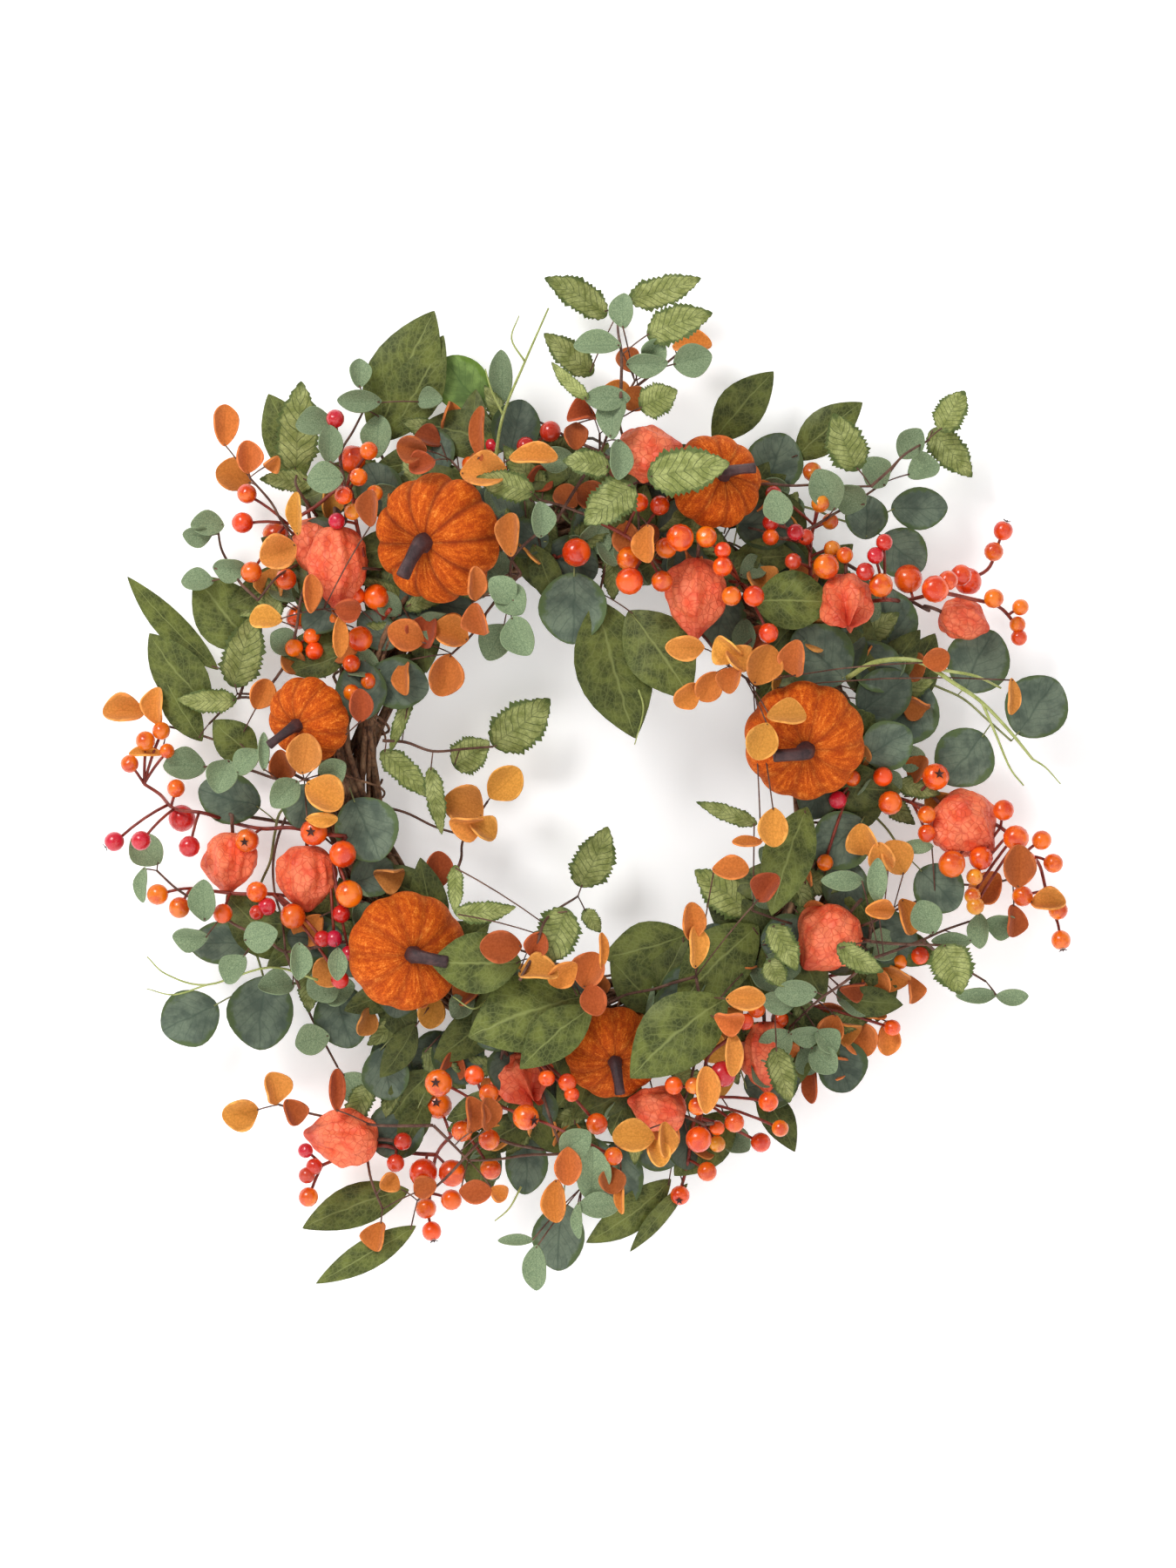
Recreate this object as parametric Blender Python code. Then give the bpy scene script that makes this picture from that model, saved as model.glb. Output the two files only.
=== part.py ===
"""Harvest door wreath: picks of velvet pumpkins, lantern pods, berries and leaves on a grapevine ring.

Written for Blender 4.5, in metres, +Z up. The wreath hangs against a door in the plane y = 0 and faces -Y.
The origin is the point where a door hook carries the hanging loop.

The layout is given in millimetres from the ring's centre: x to the right, z up, and a depth that counts
forward from the door. Depths are not listed piece by piece. The picks are laid on the ring from back to
front, and each leaf, berry, pod, pumpkin or stem comes as far forward as it must to lie clear of what is
already there, which is what Pile works out.
"""

import math
from collections import namedtuple

import bmesh
import bpy
import numpy as np
from mathutils import Matrix, Vector
from mathutils.bvhtree import BVHTree

MM = 0.001
COLLECTION_NAME = "harvest_door_wreath"

# The grapevine ring, millimetres
RING_RADIUS = 166.0
RING_DEPTH = 31.0
STRAND_COUNT = 4
STRAND_RADIUS = 9.4
STRAND_OFFSET = 14.6
STRAND_TWISTS = 3
STRAND_POINTS = 34

# The hanger at the back of the ring's top, millimetres
BAR_LENGTH = 96.0
BAR_RADIUS = 1.5
BAR_DEPTH = 3.2
LOOP_WIRE_RADIUS = 1.1
LOOP_WIDTH = 30.0
EYELET_RADIUS = 3.2
LOOP_HEIGHT = 70.0
BINDING_RADIUS = 0.8
BINDING_X = 34.0
BINDING_STEPS = 20
# The binding wires keep this gap to the ring's clearance, and bulge this far out behind, round the bar
BINDING_GAP = 0.2
BINDING_BULGE = 5.5
BINDING_BULGE_SHARPNESS = 8

# Stock used for every pick, millimetres
STEM_RADIUS = 1.5
WIRE_RADIUS = 0.9
LEAF_THICKNESS = 1.1
# A stem follows what lies under it at knots no further apart than this
KNOT_SPACING = 90.0
# A twig meets its leaf this far up the leaf, as a share of its length
TWIG_INSET = 0.16

# Pumpkins: the half height in front and behind and the depth of a groove, as shares of the radius, the
# number of ribs, and the depth of the dimples as a share of the height
PUMPKIN_FRONT = 0.78
PUMPKIN_BACK = 0.45
PUMPKIN_GROOVE = 0.08
PUMPKIN_RIBS = 10
PUMPKIN_DIMPLE = 0.25
# The hooked stem, millimetres: how far its foot, wider than the dimple's floor, stands off it, the heights
# of its bend and its end above the foot, and its radius. Its reach is a share of the pumpkin's radius.
STEM_LIFT = 1.7
STEM_BEND = 7.0
STEM_TURN = 10.5
STEM_TOP = 11.0
STEM_THICKNESS = 4.2
STEM_FLARES = [1.15, 0.85, 0.8, 0.6]
STEM_REACH = 0.5

# Lantern pods: how much narrower the tip end is, and how much flatter a pod is than it is wide
POD_TAPER = 0.35
POD_FLATNESS = 0.84
POD_WIRE = 10.0

# Closing fused bodies, millimetres: edges and gaps shorter than WELD are closed up, and shells that meet
# edge to edge are moved aside by steps of NUDGE, at most NUDGES times
WELD = 0.004
NUDGE = 0.03
NUDGES = 9

# Height of the ring's centre, so that the top of the hanging loop's opening is the origin
RING_CENTRE_Z = -(RING_RADIUS + LOOP_HEIGHT)

# The pile, millimetres: its cells, half its width, the gap that pieces keep to what lies under them, and
# how far past its radius a stem counts
CELL = 2.0
PILE_HALF_WIDTH = 380.0
GAP = 0.7
EDGE = 1.6
# No pick lies closer to the ring's centre line than its clearance, or closer to the door than SIDE_DEPTH,
# which falls to FAR_DEPTH at FAR_RADIUS
BINDING_CLEARANCE = 27.0
SIDE_DEPTH = 30.0
FAR_DEPTH = 22.0
FAR_RADIUS = 340.0

# A species of leaf: its material's name, its outline as points (share of length, share of width), its
# colour and roughness, and how far its leaves pitch and roll, in degrees. Only the upper half of the
# outline is listed, from the base to the tip.
Species = namedtuple("Species", "name outline colour roughness pitch roll")
LEMON = Species(
    "lemon_leaf", [(0.0, 0.05), (0.3, 0.44), (0.62, 0.46), (1.0, 0.0)],
    (0.10, 0.15, 0.04), 0.55, 6, 10,
)
EUCALYPTUS = Species(
    "eucalyptus_leaf", [(0.0, 0.12), (0.25, 0.45), (0.7, 0.47), (1.0, 0.1)],
    (0.07, 0.12, 0.11), 0.6, 5, 8,
)
SAGE = Species(
    "sage_leaf", [(0.0, 0.08), (0.5, 0.5), (1.0, 0.08)],
    (0.26, 0.40, 0.29), 0.75, 10, 12,
)
FELT = Species(
    "felt_leaf", [(0.0, 0.08), (0.6, 0.5), (1.0, 0.12)],
    (0.72, 0.26, 0.06), 0.85, 10, 12,
)
MINT = Species(
    "mint_leaf", [(0.0, 0.06), (0.3, 0.5), (0.65, 0.38), (1.0, 0.0)],
    (0.22, 0.30, 0.10), 0.65, 7, 9,
)

# A leaf is (x, z, heading in degrees, length, width), with its middle at x, z. A berry is (x, z, radius).
Spray = namedtuple("Spray", "name species stems leaves")
BerrySpray = namedtuple("BerrySpray", "name stems berries")
# The axis leans so that the crown shows at (lean_x, lean_z) from the middle. The stem points to a heading.
Pumpkin = namedtuple("Pumpkin", "name x z radius lean_x lean_z stem_heading")
# A pod is (x, z, length, width, heading of its tip).
LanternPick = namedtuple("LanternPick", "name pods")

PUMPKINS = [
    Pumpkin("pumpkin_upper_left", -102, 161, 46, -13, -7, -113),
    Pumpkin("pumpkin_left", -191, 38, 31, -11, -7, -141),
    Pumpkin("pumpkin_lower_left", -124, -121, 42, 8, -2, -10),
    Pumpkin("pumpkin_bottom", 17, -191, 34, 2, -8, -82),
    Pumpkin("pumpkin_right", 148, 23, 43, -1, -10, 180),
    Pumpkin("pumpkin_top", 86, 199, 34, 8, 5, 2),
]

LANTERNS = [
    LanternPick("lantern_upper_left", [(-190, 158, 44, 30, -80), (-173, 144, 58, 39, -88)]),
    LanternPick("lantern_left", [(-248, -60, 43, 36, -95), (-194, -70, 46, 40, -90)]),
    LanternPick("lantern_lower_left", [(-169, -252, 52, 37, 175)]),
    LanternPick("lantern_bottom", [(-46, -211, 38, 38, -60), (49, -230, 41, 31, 165)]),
    LanternPick("lantern_lower_right", [(123, -194, 50, 36, -88)]),
    LanternPick("lantern_inner_right", [(166, -113, 50, 43, -130)]),
    LanternPick("lantern_far_right", [(260, -35, 50, 44, -42)]),
    LanternPick("lantern_top", [(74, 122, 56, 37, -92), (40, 218, 44, 33, 10)]),
    LanternPick("lantern_upper_right", [(176, 119, 42, 30, -90), (260, 107, 36, 28, -20)]),
]

BACK_SPRAYS = [
    Spray(
        "eucalyptus_left", EUCALYPTUS,
        stems=[
            [(-166, -7), (-214, -25), (-238, -115), (-226, -145)],
            [(-226, -145), (-178, -145)],
        ],
        leaves=[
            (-250, -17, 165, 43, 36), (-152, -38, -65, 45, 45), (-278, -170, -155, 41, 41),
            (-227, -166, -95, 50, 47), (-171, -169, -75, 44, 40),
        ],
    ),
    Spray(
        "eucalyptus_top", EUCALYPTUS,
        stems=[
            [(-70, 251), (-10, 173), (26, 197), (122, 197), (194, 173)],
        ],
        leaves=[
            (-10, 114, -90, 48, 48), (130, 217, 70, 41, 41), (-87, 272, 130, 43, 37),
        ],
    ),
    Spray(
        "eucalyptus_bottom", EUCALYPTUS,
        stems=[
            [(-106, -181), (-52, -223), (-16, -259), (26, -259)],
        ],
        leaves=[
            (-20, -323, -95, 45, 37), (21, -281, -90, 48, 36),
        ],
    ),
    Spray(
        "eucalyptus_right", EUCALYPTUS,
        stems=[
            [(164, 53), (185, 74), (220, 76), (260, 53), (296, 23)],
            [(164, 53), (185, -7), (218, -55)],
        ],
        leaves=[
            (208, 106, 100, 45, 45), (272, 79, 65, 45, 45), (313, 47, 55, 45, 45), (220, 43, -125, 49, 49),
            (262, 11, -130, 43, 43), (160, 81, 135, 47, 47), (174, -46, -140, 42, 42),
        ],
    ),
    Spray(
        "lemon_left", LEMON,
        stems=[
            [(-208, 53), (-244, 53), (-265, 35)],
            [(-244, 53), (-235, 80)],
        ],
        leaves=[
            (-290, 104, 135, 87, 21), (-252, 111, 130, 65, 45), (-286, 71, 130, 64, 36),
        ],
    ),
    Spray(
        "lemon_top", LEMON,
        stems=[
            [(-136, 197), (-148, 224), (-190, 206)],
        ],
        leaves=[
            (-129, 276, 65, 97, 51), (-120, 267, 60, 81, 36), (-211, 235, 110, 63, 36),
        ],
    ),
    Spray(
        "lemon_right", LEMON,
        stems=[
            [(14, 167), (68, 197), (104, 215), (137, 218)],
            [(14, 167), (8, 125)],
            [(68, 197), (104, 149), (114, 122)],
        ],
        leaves=[
            (108, 256, 50, 62, 33), (166, 239, 40, 59, 30), (19, 72, -75, 95, 54), (49, 83, -55, 72, 48),
            (141, 119, 0, 53, 42),
        ],
    ),
]

BERRY_SPRAYS = [
    BerrySpray(
        "berries_top_left",
        stems=[
            [(-154, 149), (-166, 197), (-208, 173)],
            [(-136, 113), (-160, 95), (-184, 101)],
            [(-154, 149), (-136, 113)],
        ],
        berries=[
            (-218, 167, 8.5), (-163, 219, 9.5), (-202, 109, 8.0), (-157, 93, 8.5), (-146, 122, 8.5),
        ],
    ),
    BerrySpray(
        "berries_top",
        stems=[
            [(-22, 149), (-64, 209), (-94, 233)],
            [(8, 173), (44, 149), (104, 131)],
            [(-22, 149), (8, 173)],
        ],
        berries=[
            (-8, 152, 9.5), (28, 148, 8.0), (28, 130, 9.0), (62, 159, 9.0),
        ],
    ),
    BerrySpray(
        "berries_upper_right",
        stems=[
            [(152, 113), (152, 161), (161, 197)],
            [(185, 119), (239, 125), (278, 143), (287, 161)],
            [(239, 125), (284, 116), (299, 104)],
            [(152, 113), (185, 119)],
        ],
        berries=[
            (162, 141, 8.5), (199, 128, 8.0), (223, 136, 9.5), (235, 125, 9.0), (265, 134, 9.0),
        ],
    ),
    BerrySpray(
        "berries_right",
        stems=[
            [(182, -7), (239, -25), (284, -37), (314, -61), (328, -103)],
        ],
        berries=[
            (208, -20, 8.0), (240, -2, 9.0), (250, -62, 9.0), (271, -58, 8.0), (294, -44, 8.5),
            (304, -62, 8.5),
        ],
    ),
    BerrySpray(
        "berries_lower_right",
        stems=[
            [(122, -157), (83, -193), (74, -247), (65, -289)],
        ],
        berries=[
            (82, -182, 8.0), (91, -203, 8.5), (75, -248, 8.5),
        ],
    ),
    BerrySpray(
        "berries_bottom",
        stems=[
            [(-46, -187), (-70, -223), (-106, -265), (-112, -307)],
            [(-106, -265), (-142, -259), (-184, -271)],
        ],
        berries=[
            (-81, -191, 9.0), (-101, -209, 9.0), (-104, -231, 9.0), (-42, -232, 8.5), (-114, -276, 9.5),
            (-94, -276, 9.0),
        ],
    ),
    BerrySpray(
        "berries_left",
        stems=[
            [(-166, -43), (-226, -37), (-286, -25), (-310, -7)],
            [(-166, -43), (-202, -85), (-274, -79)],
        ],
        berries=[
            (-283, -31, 9.0), (-235, -46, 8.0), (-188, -40, 9.0), (-168, -55, 9.0), (-163, -82, 9.0),
            (-203, -98, 8.5),
        ],
    ),
]

FRONT_SPRAYS = [
    Spray(
        "lemon_bottom", LEMON,
        stems=[
            [(116, -133), (74, -133), (8, -139), (-40, -127)],
            [(116, -133), (134, -103), (149, -28)],
            [(-70, -247), (-16, -265), (62, -271)],
            [(-70, -247), (-118, -295)],
            [(-40, -127), (-60, -190), (-70, -247)],
        ],
        leaves=[
            (-42, -162, -160, 80, 54), (-22, -177, -140, 62, 33), (40, -120, -165, 58, 36),
            (89, -130, -135, 76, 45), (60, -176, -140, 82, 51), (-75, -128, -180, 59, 43),
            (137, -58, -110, 76, 36), (-163, -302, -160, 76, 30), (-152, -330, -150, 76, 21),
            (30, -306, -145, 71, 27),
        ],
    ),
    Spray(
        "felt_top_left", FELT,
        stems=[
            [(-178, 137), (-208, 173), (-232, 203)],
            [(-178, 137), (-181, 113)],
            [(-46, 137), (-70, 185), (-94, 215)],
            [(-46, 137), (-94, 83)],
            [(-178, 137), (-110, 143), (-46, 137)],
        ],
        leaves=[
            (-247, 208, 160, 25, 24), (-211, 151, -155, 26, 24), (-71, 204, 0, 31, 24),
            (-125, 95, 160, 26, 22), (-94, 97, 160, 25, 23), (-98, 68, -105, 29, 24),
        ],
    ),
    Spray(
        "felt_left", FELT,
        stems=[
            [(-196, -4), (-256, 23), (-301, 35)],
            [(-94, -73), (-85, -43), (-70, -19)],
            [(-196, -4), (-150, -20), (-85, -43)],
        ],
        leaves=[
            (-324, 44, -180, 28, 20), (-193, 13, 80, 28, 24), (-180, -14, -35, 28, 25),
            (-58, -7, 45, 29, 24), (-86, -23, 155, 29, 28),
        ],
    ),
    Spray(
        "felt_right", FELT,
        stems=[
            [(122, 101), (92, 77), (128, 53)],
            [(32, 209), (20, 245), (32, 269)],
            [(32, 269), (62, 293)],
            [(32, 209), (35, 167)],
            [(92, 77), (60, 120), (35, 167)],
        ],
        leaves=[
            (118, 73, 70, 28, 25), (117, 22, -110, 26, 22),
        ],
    ),
    Spray(
        "felt_lower_right", FELT,
        stems=[
            [(134, -127), (194, -103), (254, -79), (296, -73)],
            [(194, -103), (200, -133), (182, -169)],
        ],
        leaves=[
            (212, -58, 120, 25, 23), (295, -64, 90, 30, 22), (167, -169, 180, 28, 23),
            (190, -184, -65, 25, 23),
        ],
    ),
    Spray(
        "felt_bottom", FELT,
        stems=[
            [(74, -139), (80, -181), (62, -235), (14, -259)],
            [(14, -157), (-16, -133), (-46, -121)],
            [(-106, -241), (-166, -241), (-214, -229)],
            [(-106, -241), (-82, -265)],
            [(-166, -241), (-142, -301)],
            [(74, -139), (44, -148), (14, -157)],
            [(14, -259), (-40, -262), (-82, -265)],
        ],
        leaves=[
            (31, -245, -180, 28, 22), (-58, -116, -180, 28, 22), (1, -133, 70, 25, 23),
        ],
    ),
    Spray(
        "sage_top_left", SAGE,
        stems=[
            [(-166, 173), (-169, 221), (-154, 257)],
            [(-226, 119), (-250, 143), (-259, 173)],
            [(-166, 173), (-196, 150), (-226, 119)],
        ],
        leaves=[
            (-146, 235, -90, 30, 22),
        ],
    ),
    Spray(
        "sage_top", SAGE,
        stems=[
            [(-22, 173), (8, 221), (32, 269)],
            [(-22, 173), (-52, 149), (-55, 113)],
            [(8, 221), (-46, 251)],
            [(134, 161), (170, 179), (206, 203)],
            [(8, 221), (70, 190), (134, 161)],
        ],
        leaves=[
            (70, 278, 15, 26, 23), (17, 240, 90, 30, 23), (-60, 276, 90, 37, 17), (-64, 92, -115, 28, 24),
            (-46, 92, -65, 28, 23), (163, 194, 115, 30, 24),
        ],
    ),
    Spray(
        "sage_left", SAGE,
        stems=[
            [(-202, -7), (-238, 5), (-268, 5)],
            [(-166, -115), (-208, -121), (-256, -97), (-298, -67)],
            [(-208, -121), (-196, -169), (-175, -205)],
            [(-202, -7), (-220, -60), (-208, -121)],
        ],
        leaves=[
            (-281, 6, -180, 29, 23), (-308, -53, 130, 27, 24), (-263, -87, 90, 28, 20),
            (-175, -149, 5, 25, 23),
        ],
    ),
    Spray(
        "sage_lower_right", SAGE,
        stems=[
            [(194, -127), (230, -115), (266, -103)],
            [(194, -127), (158, -157), (140, -175)],
            [(230, -115), (278, -145)],
        ],
        leaves=[
            (129, -187, -135, 28, 23),
        ],
    ),
    Spray(
        "sage_bottom", SAGE,
        stems=[
            [(-46, -187), (-22, -247), (-4, -283)],
        ],
        leaves=[
            (3, -269, 90, 36, 24),
        ],
    ),
    Spray(
        "mint_left", MINT,
        stems=[
            [(-208, 77), (-226, 59), (-245, 56)],
            [(-184, 173), (-199, 197), (-203, 210)],
            [(-208, 77), (-196, 120), (-184, 173)],
        ],
        leaves=[
            (-239, 85, 75, 52, 34), (-202, 241, 85, 61, 36),
        ],
    ),
    Spray(
        "mint_upper", MINT,
        stems=[
            [(14, 173), (32, 197), (41, 199)],
            [(14, 173), (8, 233)],
            [(14, 173), (-34, 188)],
            [(194, 197), (218, 221), (238, 233)],
            [(41, 199), (120, 200), (194, 197)],
        ],
        leaves=[
            (67, 203, 10, 54, 37), (14, 182, -140, 42, 35), (-56, 195, 165, 39, 24),
            (253, 225, -50, 43, 28), (176, 226, 115, 41, 33),
        ],
    ),
    Spray(
        "mint_lower_right", MINT,
        stems=[
            [(194, -115), (134, -103), (113, -94)],
            [(194, -115), (248, -118)],
            [(134, -103), (128, -181)],
        ],
        leaves=[
            (94, -81, 145, 47, 34), (248, -132, -70, 35, 35),
        ],
    ),
    Spray(
        "mint_top", MINT,
        stems=[
            [(22, 252), (22, 281), (21, 323)],
        ],
        leaves=[
            (-7, 335, 150, 49, 27), (53, 337, 15, 51, 26), (-14, 293, 140, 43, 24), (60, 301, 20, 45, 29),
        ],
    ),
    Spray(
        "mint_inner_left", MINT,
        stems=[
            [(-142, 23), (-106, 17), (-66, 19)],
        ],
        leaves=[
            (-46, 34, 40, 50, 40), (-82, 14, 35, 30, 30), (-126, 1, -45, 44, 22),
        ],
    ),
    Spray(
        "mint_inner_bottom", MINT,
        stems=[
            [(-46, -139), (-28, -97), (-7, -85)],
        ],
        leaves=[
            (5, -59, 65, 45, 34), (-22, -110, -115, 42, 35),
        ],
    ),
]


def point(x, z, depth):
    """A place of the layout, millimetres from the ring's centre, as world metres."""
    return Vector((x * MM, -depth * MM, (RING_CENTRE_Z + z) * MM))


def clear_scene():
    """Removes every object, so that the scene holds the wreath alone."""
    for obj in list(bpy.data.objects):
        bpy.data.objects.remove(obj, do_unlink=True)


def make_collection(name):
    collection = bpy.data.collections.new(name)
    bpy.context.scene.collection.children.link(collection)
    return collection


def make_material(name, colour, roughness, metallic=0.0):
    """A Principled material of one plain finish."""
    material = bpy.data.materials.new(name)
    material.use_nodes = True
    shader = material.node_tree.nodes["Principled BSDF"]
    shader.inputs["Base Color"].default_value = (*colour, 1.0)
    shader.inputs["Roughness"].default_value = roughness
    shader.inputs["Metallic"].default_value = metallic
    return material


def add_node(name, mesh, origin, material, collection):
    """A finished node: its mesh is in world metres and is moved so that the object's origin is at origin."""
    mesh.name = name
    mesh.transform(Matrix.Translation(-origin))
    obj = bpy.data.objects.new(name, mesh)
    obj.location = origin
    mesh.materials.clear()
    mesh.materials.append(material)
    mesh.shade_smooth()
    mesh.set_sharp_from_angle(angle=math.radians(40))
    collection.objects.link(obj)
    return obj


def curve_mesh(curve):
    """The closed mesh of a curve, with its loose caps welded on."""
    holder = bpy.data.objects.new("holder", curve)
    bpy.context.scene.collection.objects.link(holder)
    bpy.context.view_layer.update()
    mesh = bpy.data.meshes.new_from_object(holder.evaluated_get(bpy.context.evaluated_depsgraph_get()))
    bpy.data.objects.remove(holder, do_unlink=True)
    bpy.data.curves.remove(curve)
    shape = bmesh.new()
    shape.from_mesh(mesh)
    bmesh.ops.remove_doubles(shape, verts=shape.verts, dist=0.00001)
    bmesh.ops.recalc_face_normals(shape, faces=shape.faces)
    shape.to_mesh(mesh)
    shape.free()
    return mesh


def tube_mesh(points, radius, closed=False, resolution=1, radii=None):
    """A wire or stem through points given in world metres."""
    curve = bpy.data.curves.new("tube", "CURVE")
    curve.dimensions = "3D"
    curve.bevel_depth = radius * MM
    curve.bevel_resolution = resolution
    curve.use_fill_caps = True
    curve.twist_mode = "MINIMUM"
    spline = curve.splines.new("POLY")
    spline.points.add(len(points) - 1)
    for index, place in enumerate(points):
        spline.points[index].co = (*place, 1.0)
        spline.points[index].radius = radii[index] if radii else 1.0
    spline.use_cyclic_u = closed
    return curve_mesh(curve)


def leaf_mesh(species):
    """A leaf plate of length 1 along X and width 1 along Y, with its base at the origin and thickness 1."""
    curve = bpy.data.curves.new("leaf", "CURVE")
    curve.dimensions = "2D"
    curve.fill_mode = "BOTH"
    curve.extrude = 0.5
    upper = species.outline
    lower = [(along, -across) for along, across in reversed(upper) if across > 0.0]
    outline = upper + lower
    spline = curve.splines.new("POLY")
    spline.points.add(len(outline) - 1)
    for index, (along, across) in enumerate(outline):
        spline.points[index].co = (along, across, 0.0, 1.0)
    spline.use_cyclic_u = True
    return curve_mesh(curve)


def sphere_mesh(radius, segments, rings):
    """A ball around the origin with its poles on Z."""
    shape = bmesh.new()
    bmesh.ops.create_uvsphere(shape, u_segments=segments, v_segments=rings, radius=radius)
    mesh = bpy.data.meshes.new("ball")
    shape.to_mesh(mesh)
    shape.free()
    return mesh


def berry_mesh(radius):
    """A twenty-sided berry around the origin."""
    shape = bmesh.new()
    bmesh.ops.create_icosphere(shape, subdivisions=1, radius=radius)
    mesh = bpy.data.meshes.new("berry")
    shape.to_mesh(mesh)
    shape.free()
    return mesh


def is_one_body(shape):
    """Whether every edge has two faces and all the vertices hang together."""
    if any(len(edge.link_faces) != 2 for edge in shape.edges):
        return False
    shape.verts.ensure_lookup_table()
    reached = {shape.verts[0]}
    border = [shape.verts[0]]
    while border:
        vertex = border.pop()
        for edge in vertex.link_edges:
            other = edge.other_vert(vertex)
            if other not in reached:
                reached.add(other)
                border.append(other)
    return len(reached) == len(shape.verts)


def union_of(core, others, nudge):
    """The exact union of shells given in millimetres, each moved aside by up to nudge."""
    target = bpy.data.objects.new("target", core)
    bpy.context.scene.collection.objects.link(target)
    tools = make_collection("tools")
    for index, mesh in enumerate(others):
        tool = bpy.data.objects.new("tool", mesh)
        tool.location = (nudge * math.cos(index), nudge * math.sin(2 * index), nudge * math.sin(index))
        tools.objects.link(tool)
    union = target.modifiers.new("union", "BOOLEAN")
    union.operation = "UNION"
    union.solver = "EXACT"
    union.operand_type = "COLLECTION"
    union.collection = tools
    bpy.context.view_layer.update()
    mesh = bpy.data.meshes.new_from_object(target.evaluated_get(bpy.context.evaluated_depsgraph_get()))
    for obj in [target, *tools.objects]:
        bpy.data.objects.remove(obj, do_unlink=True)
    bpy.data.collections.remove(tools)
    shape = bmesh.new()
    shape.from_mesh(mesh)
    bmesh.ops.remove_doubles(shape, verts=shape.verts, dist=WELD)
    bmesh.ops.dissolve_limit(shape, angle_limit=math.radians(0.5), verts=shape.verts, edges=shape.edges)
    bmesh.ops.triangulate(shape, faces=shape.faces)
    bmesh.ops.dissolve_degenerate(shape, dist=WELD, edges=shape.edges)
    closed = is_one_body(shape)
    shape.to_mesh(mesh)
    shape.free()
    return mesh, closed


def fused_mesh(core, others):
    """One closed body from overlapping shells, joined at a thousand times life size for exact edges.

    Shells that happen to meet edge to edge leave an open seam, so they are nudged by a few hundredths
    of a millimetre until the union closes.
    """
    enlarge = Matrix.Scale(1.0 / MM, 4) @ Matrix.Translation(-core.vertices[0].co)
    for mesh in [core, *others]:
        mesh.transform(enlarge)
    for attempt in range(NUDGES):
        mesh, closed = union_of(core, others, NUDGE * attempt)
        if closed:
            break
    for shell in [core, *others]:
        bpy.data.meshes.remove(shell)
    mesh.transform(enlarge.inverted())
    return mesh


class Pile:
    """How far forward the picks already laid reach, in millimetres, over a grid of cells."""

    def __init__(self):
        steps = np.arange(-PILE_HALF_WIDTH, PILE_HALF_WIDTH + CELL, CELL)
        self.x, self.z = np.meshgrid(steps, steps, indexing="ij")
        distance = np.hypot(self.x, self.z) - RING_RADIUS
        slope = (SIDE_DEPTH - FAR_DEPTH) / (FAR_RADIUS - RING_RADIUS)
        bed = SIDE_DEPTH - slope * np.maximum(distance, 0.0)
        inside = np.maximum(BINDING_CLEARANCE ** 2 - distance ** 2, 0.0)
        ring = np.where(np.abs(distance) < BINDING_CLEARANCE, RING_DEPTH + np.sqrt(inside), 0.0)
        self.height = np.maximum(bed, ring)

    def rod_cells(self, start, end, radius):
        """The cells under a straight stem from start to end, both (x, z)."""
        run = (end[0] - start[0], end[1] - start[1])
        length_squared = max(run[0] ** 2 + run[1] ** 2, CELL)
        share = ((self.x - start[0]) * run[0] + (self.z - start[1]) * run[1]) / length_squared
        share = np.clip(share, 0.0, 1.0)
        away = np.hypot(self.x - start[0] - share * run[0], self.z - start[1] - share * run[1])
        return away < radius + EDGE

    def rod_depth(self, start, end, radius):
        """The least depth at which a stem's middle line clears the pile."""
        return self.height[self.rod_cells(start, end, radius)].max() + GAP + radius

    def add_rod(self, start, end, depth, radius):
        cells = self.rod_cells(start, end, radius)
        self.height[cells] = np.maximum(self.height[cells], depth + radius)

    def settle(self, meshes, least=0.0):
        """Bring meshes made at depth 0 forward until they clear the pile, and add them to it.

        Args: meshes in world metres, and the least depth they may take, in millimetres.
        Returns: the depth that they came to, in millimetres.
        """
        windows = [self.surfaces(mesh) for mesh in meshes]
        depth = least
        for window, rear, front in windows:
            under = np.where(np.isfinite(rear), self.height[window] + GAP - rear, -np.inf)
            depth = max(depth, float(under.max()))
        for window, rear, front in windows:
            self.height[window] = np.maximum(self.height[window], spread(front) + depth)
        for mesh in meshes:
            mesh.transform(Matrix.Translation((0.0, -depth * MM, 0.0)))
        return depth

    def surfaces(self, mesh):
        """The rear and front surfaces of a mesh at depth 0, over the window of cells around it."""
        tree = BVHTree.FromPolygons([v.co for v in mesh.vertices], [p.vertices[:] for p in mesh.polygons])
        places = np.array([v.co[:] for v in mesh.vertices]) / MM
        low = places.min(axis=0)
        high = places.max(axis=0)
        columns = self.span(low[0], high[0])
        rows = self.span(low[2] - RING_CENTRE_Z, high[2] - RING_CENTRE_Z)
        window = (slice(*columns), slice(*rows))
        rear = np.full((columns[1] - columns[0], rows[1] - rows[0]), np.inf)
        front = np.full(rear.shape, -np.inf)
        away = Vector((0.0, 1.0, 0.0))
        for i in range(rear.shape[0]):
            for j in range(rear.shape[1]):
                x = self.x[columns[0] + i, 0]
                z = self.z[0, rows[0] + j]
                place = point(x, z, 0.0)
                hit = tree.ray_cast(place + away, -away)[0]
                if hit is None:
                    continue
                rear[i, j] = -hit.y / MM
                hit = tree.ray_cast(place - away, away)[0]
                front[i, j] = -hit.y / MM
        return window, rear, front

    def span(self, low, high):
        """The first cell and the cell past the last one between two coordinates, with a cell to spare."""
        first = int((low + PILE_HALF_WIDTH) / CELL) - 2
        last = int((high + PILE_HALF_WIDTH) / CELL) + 4
        return first, last


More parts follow.
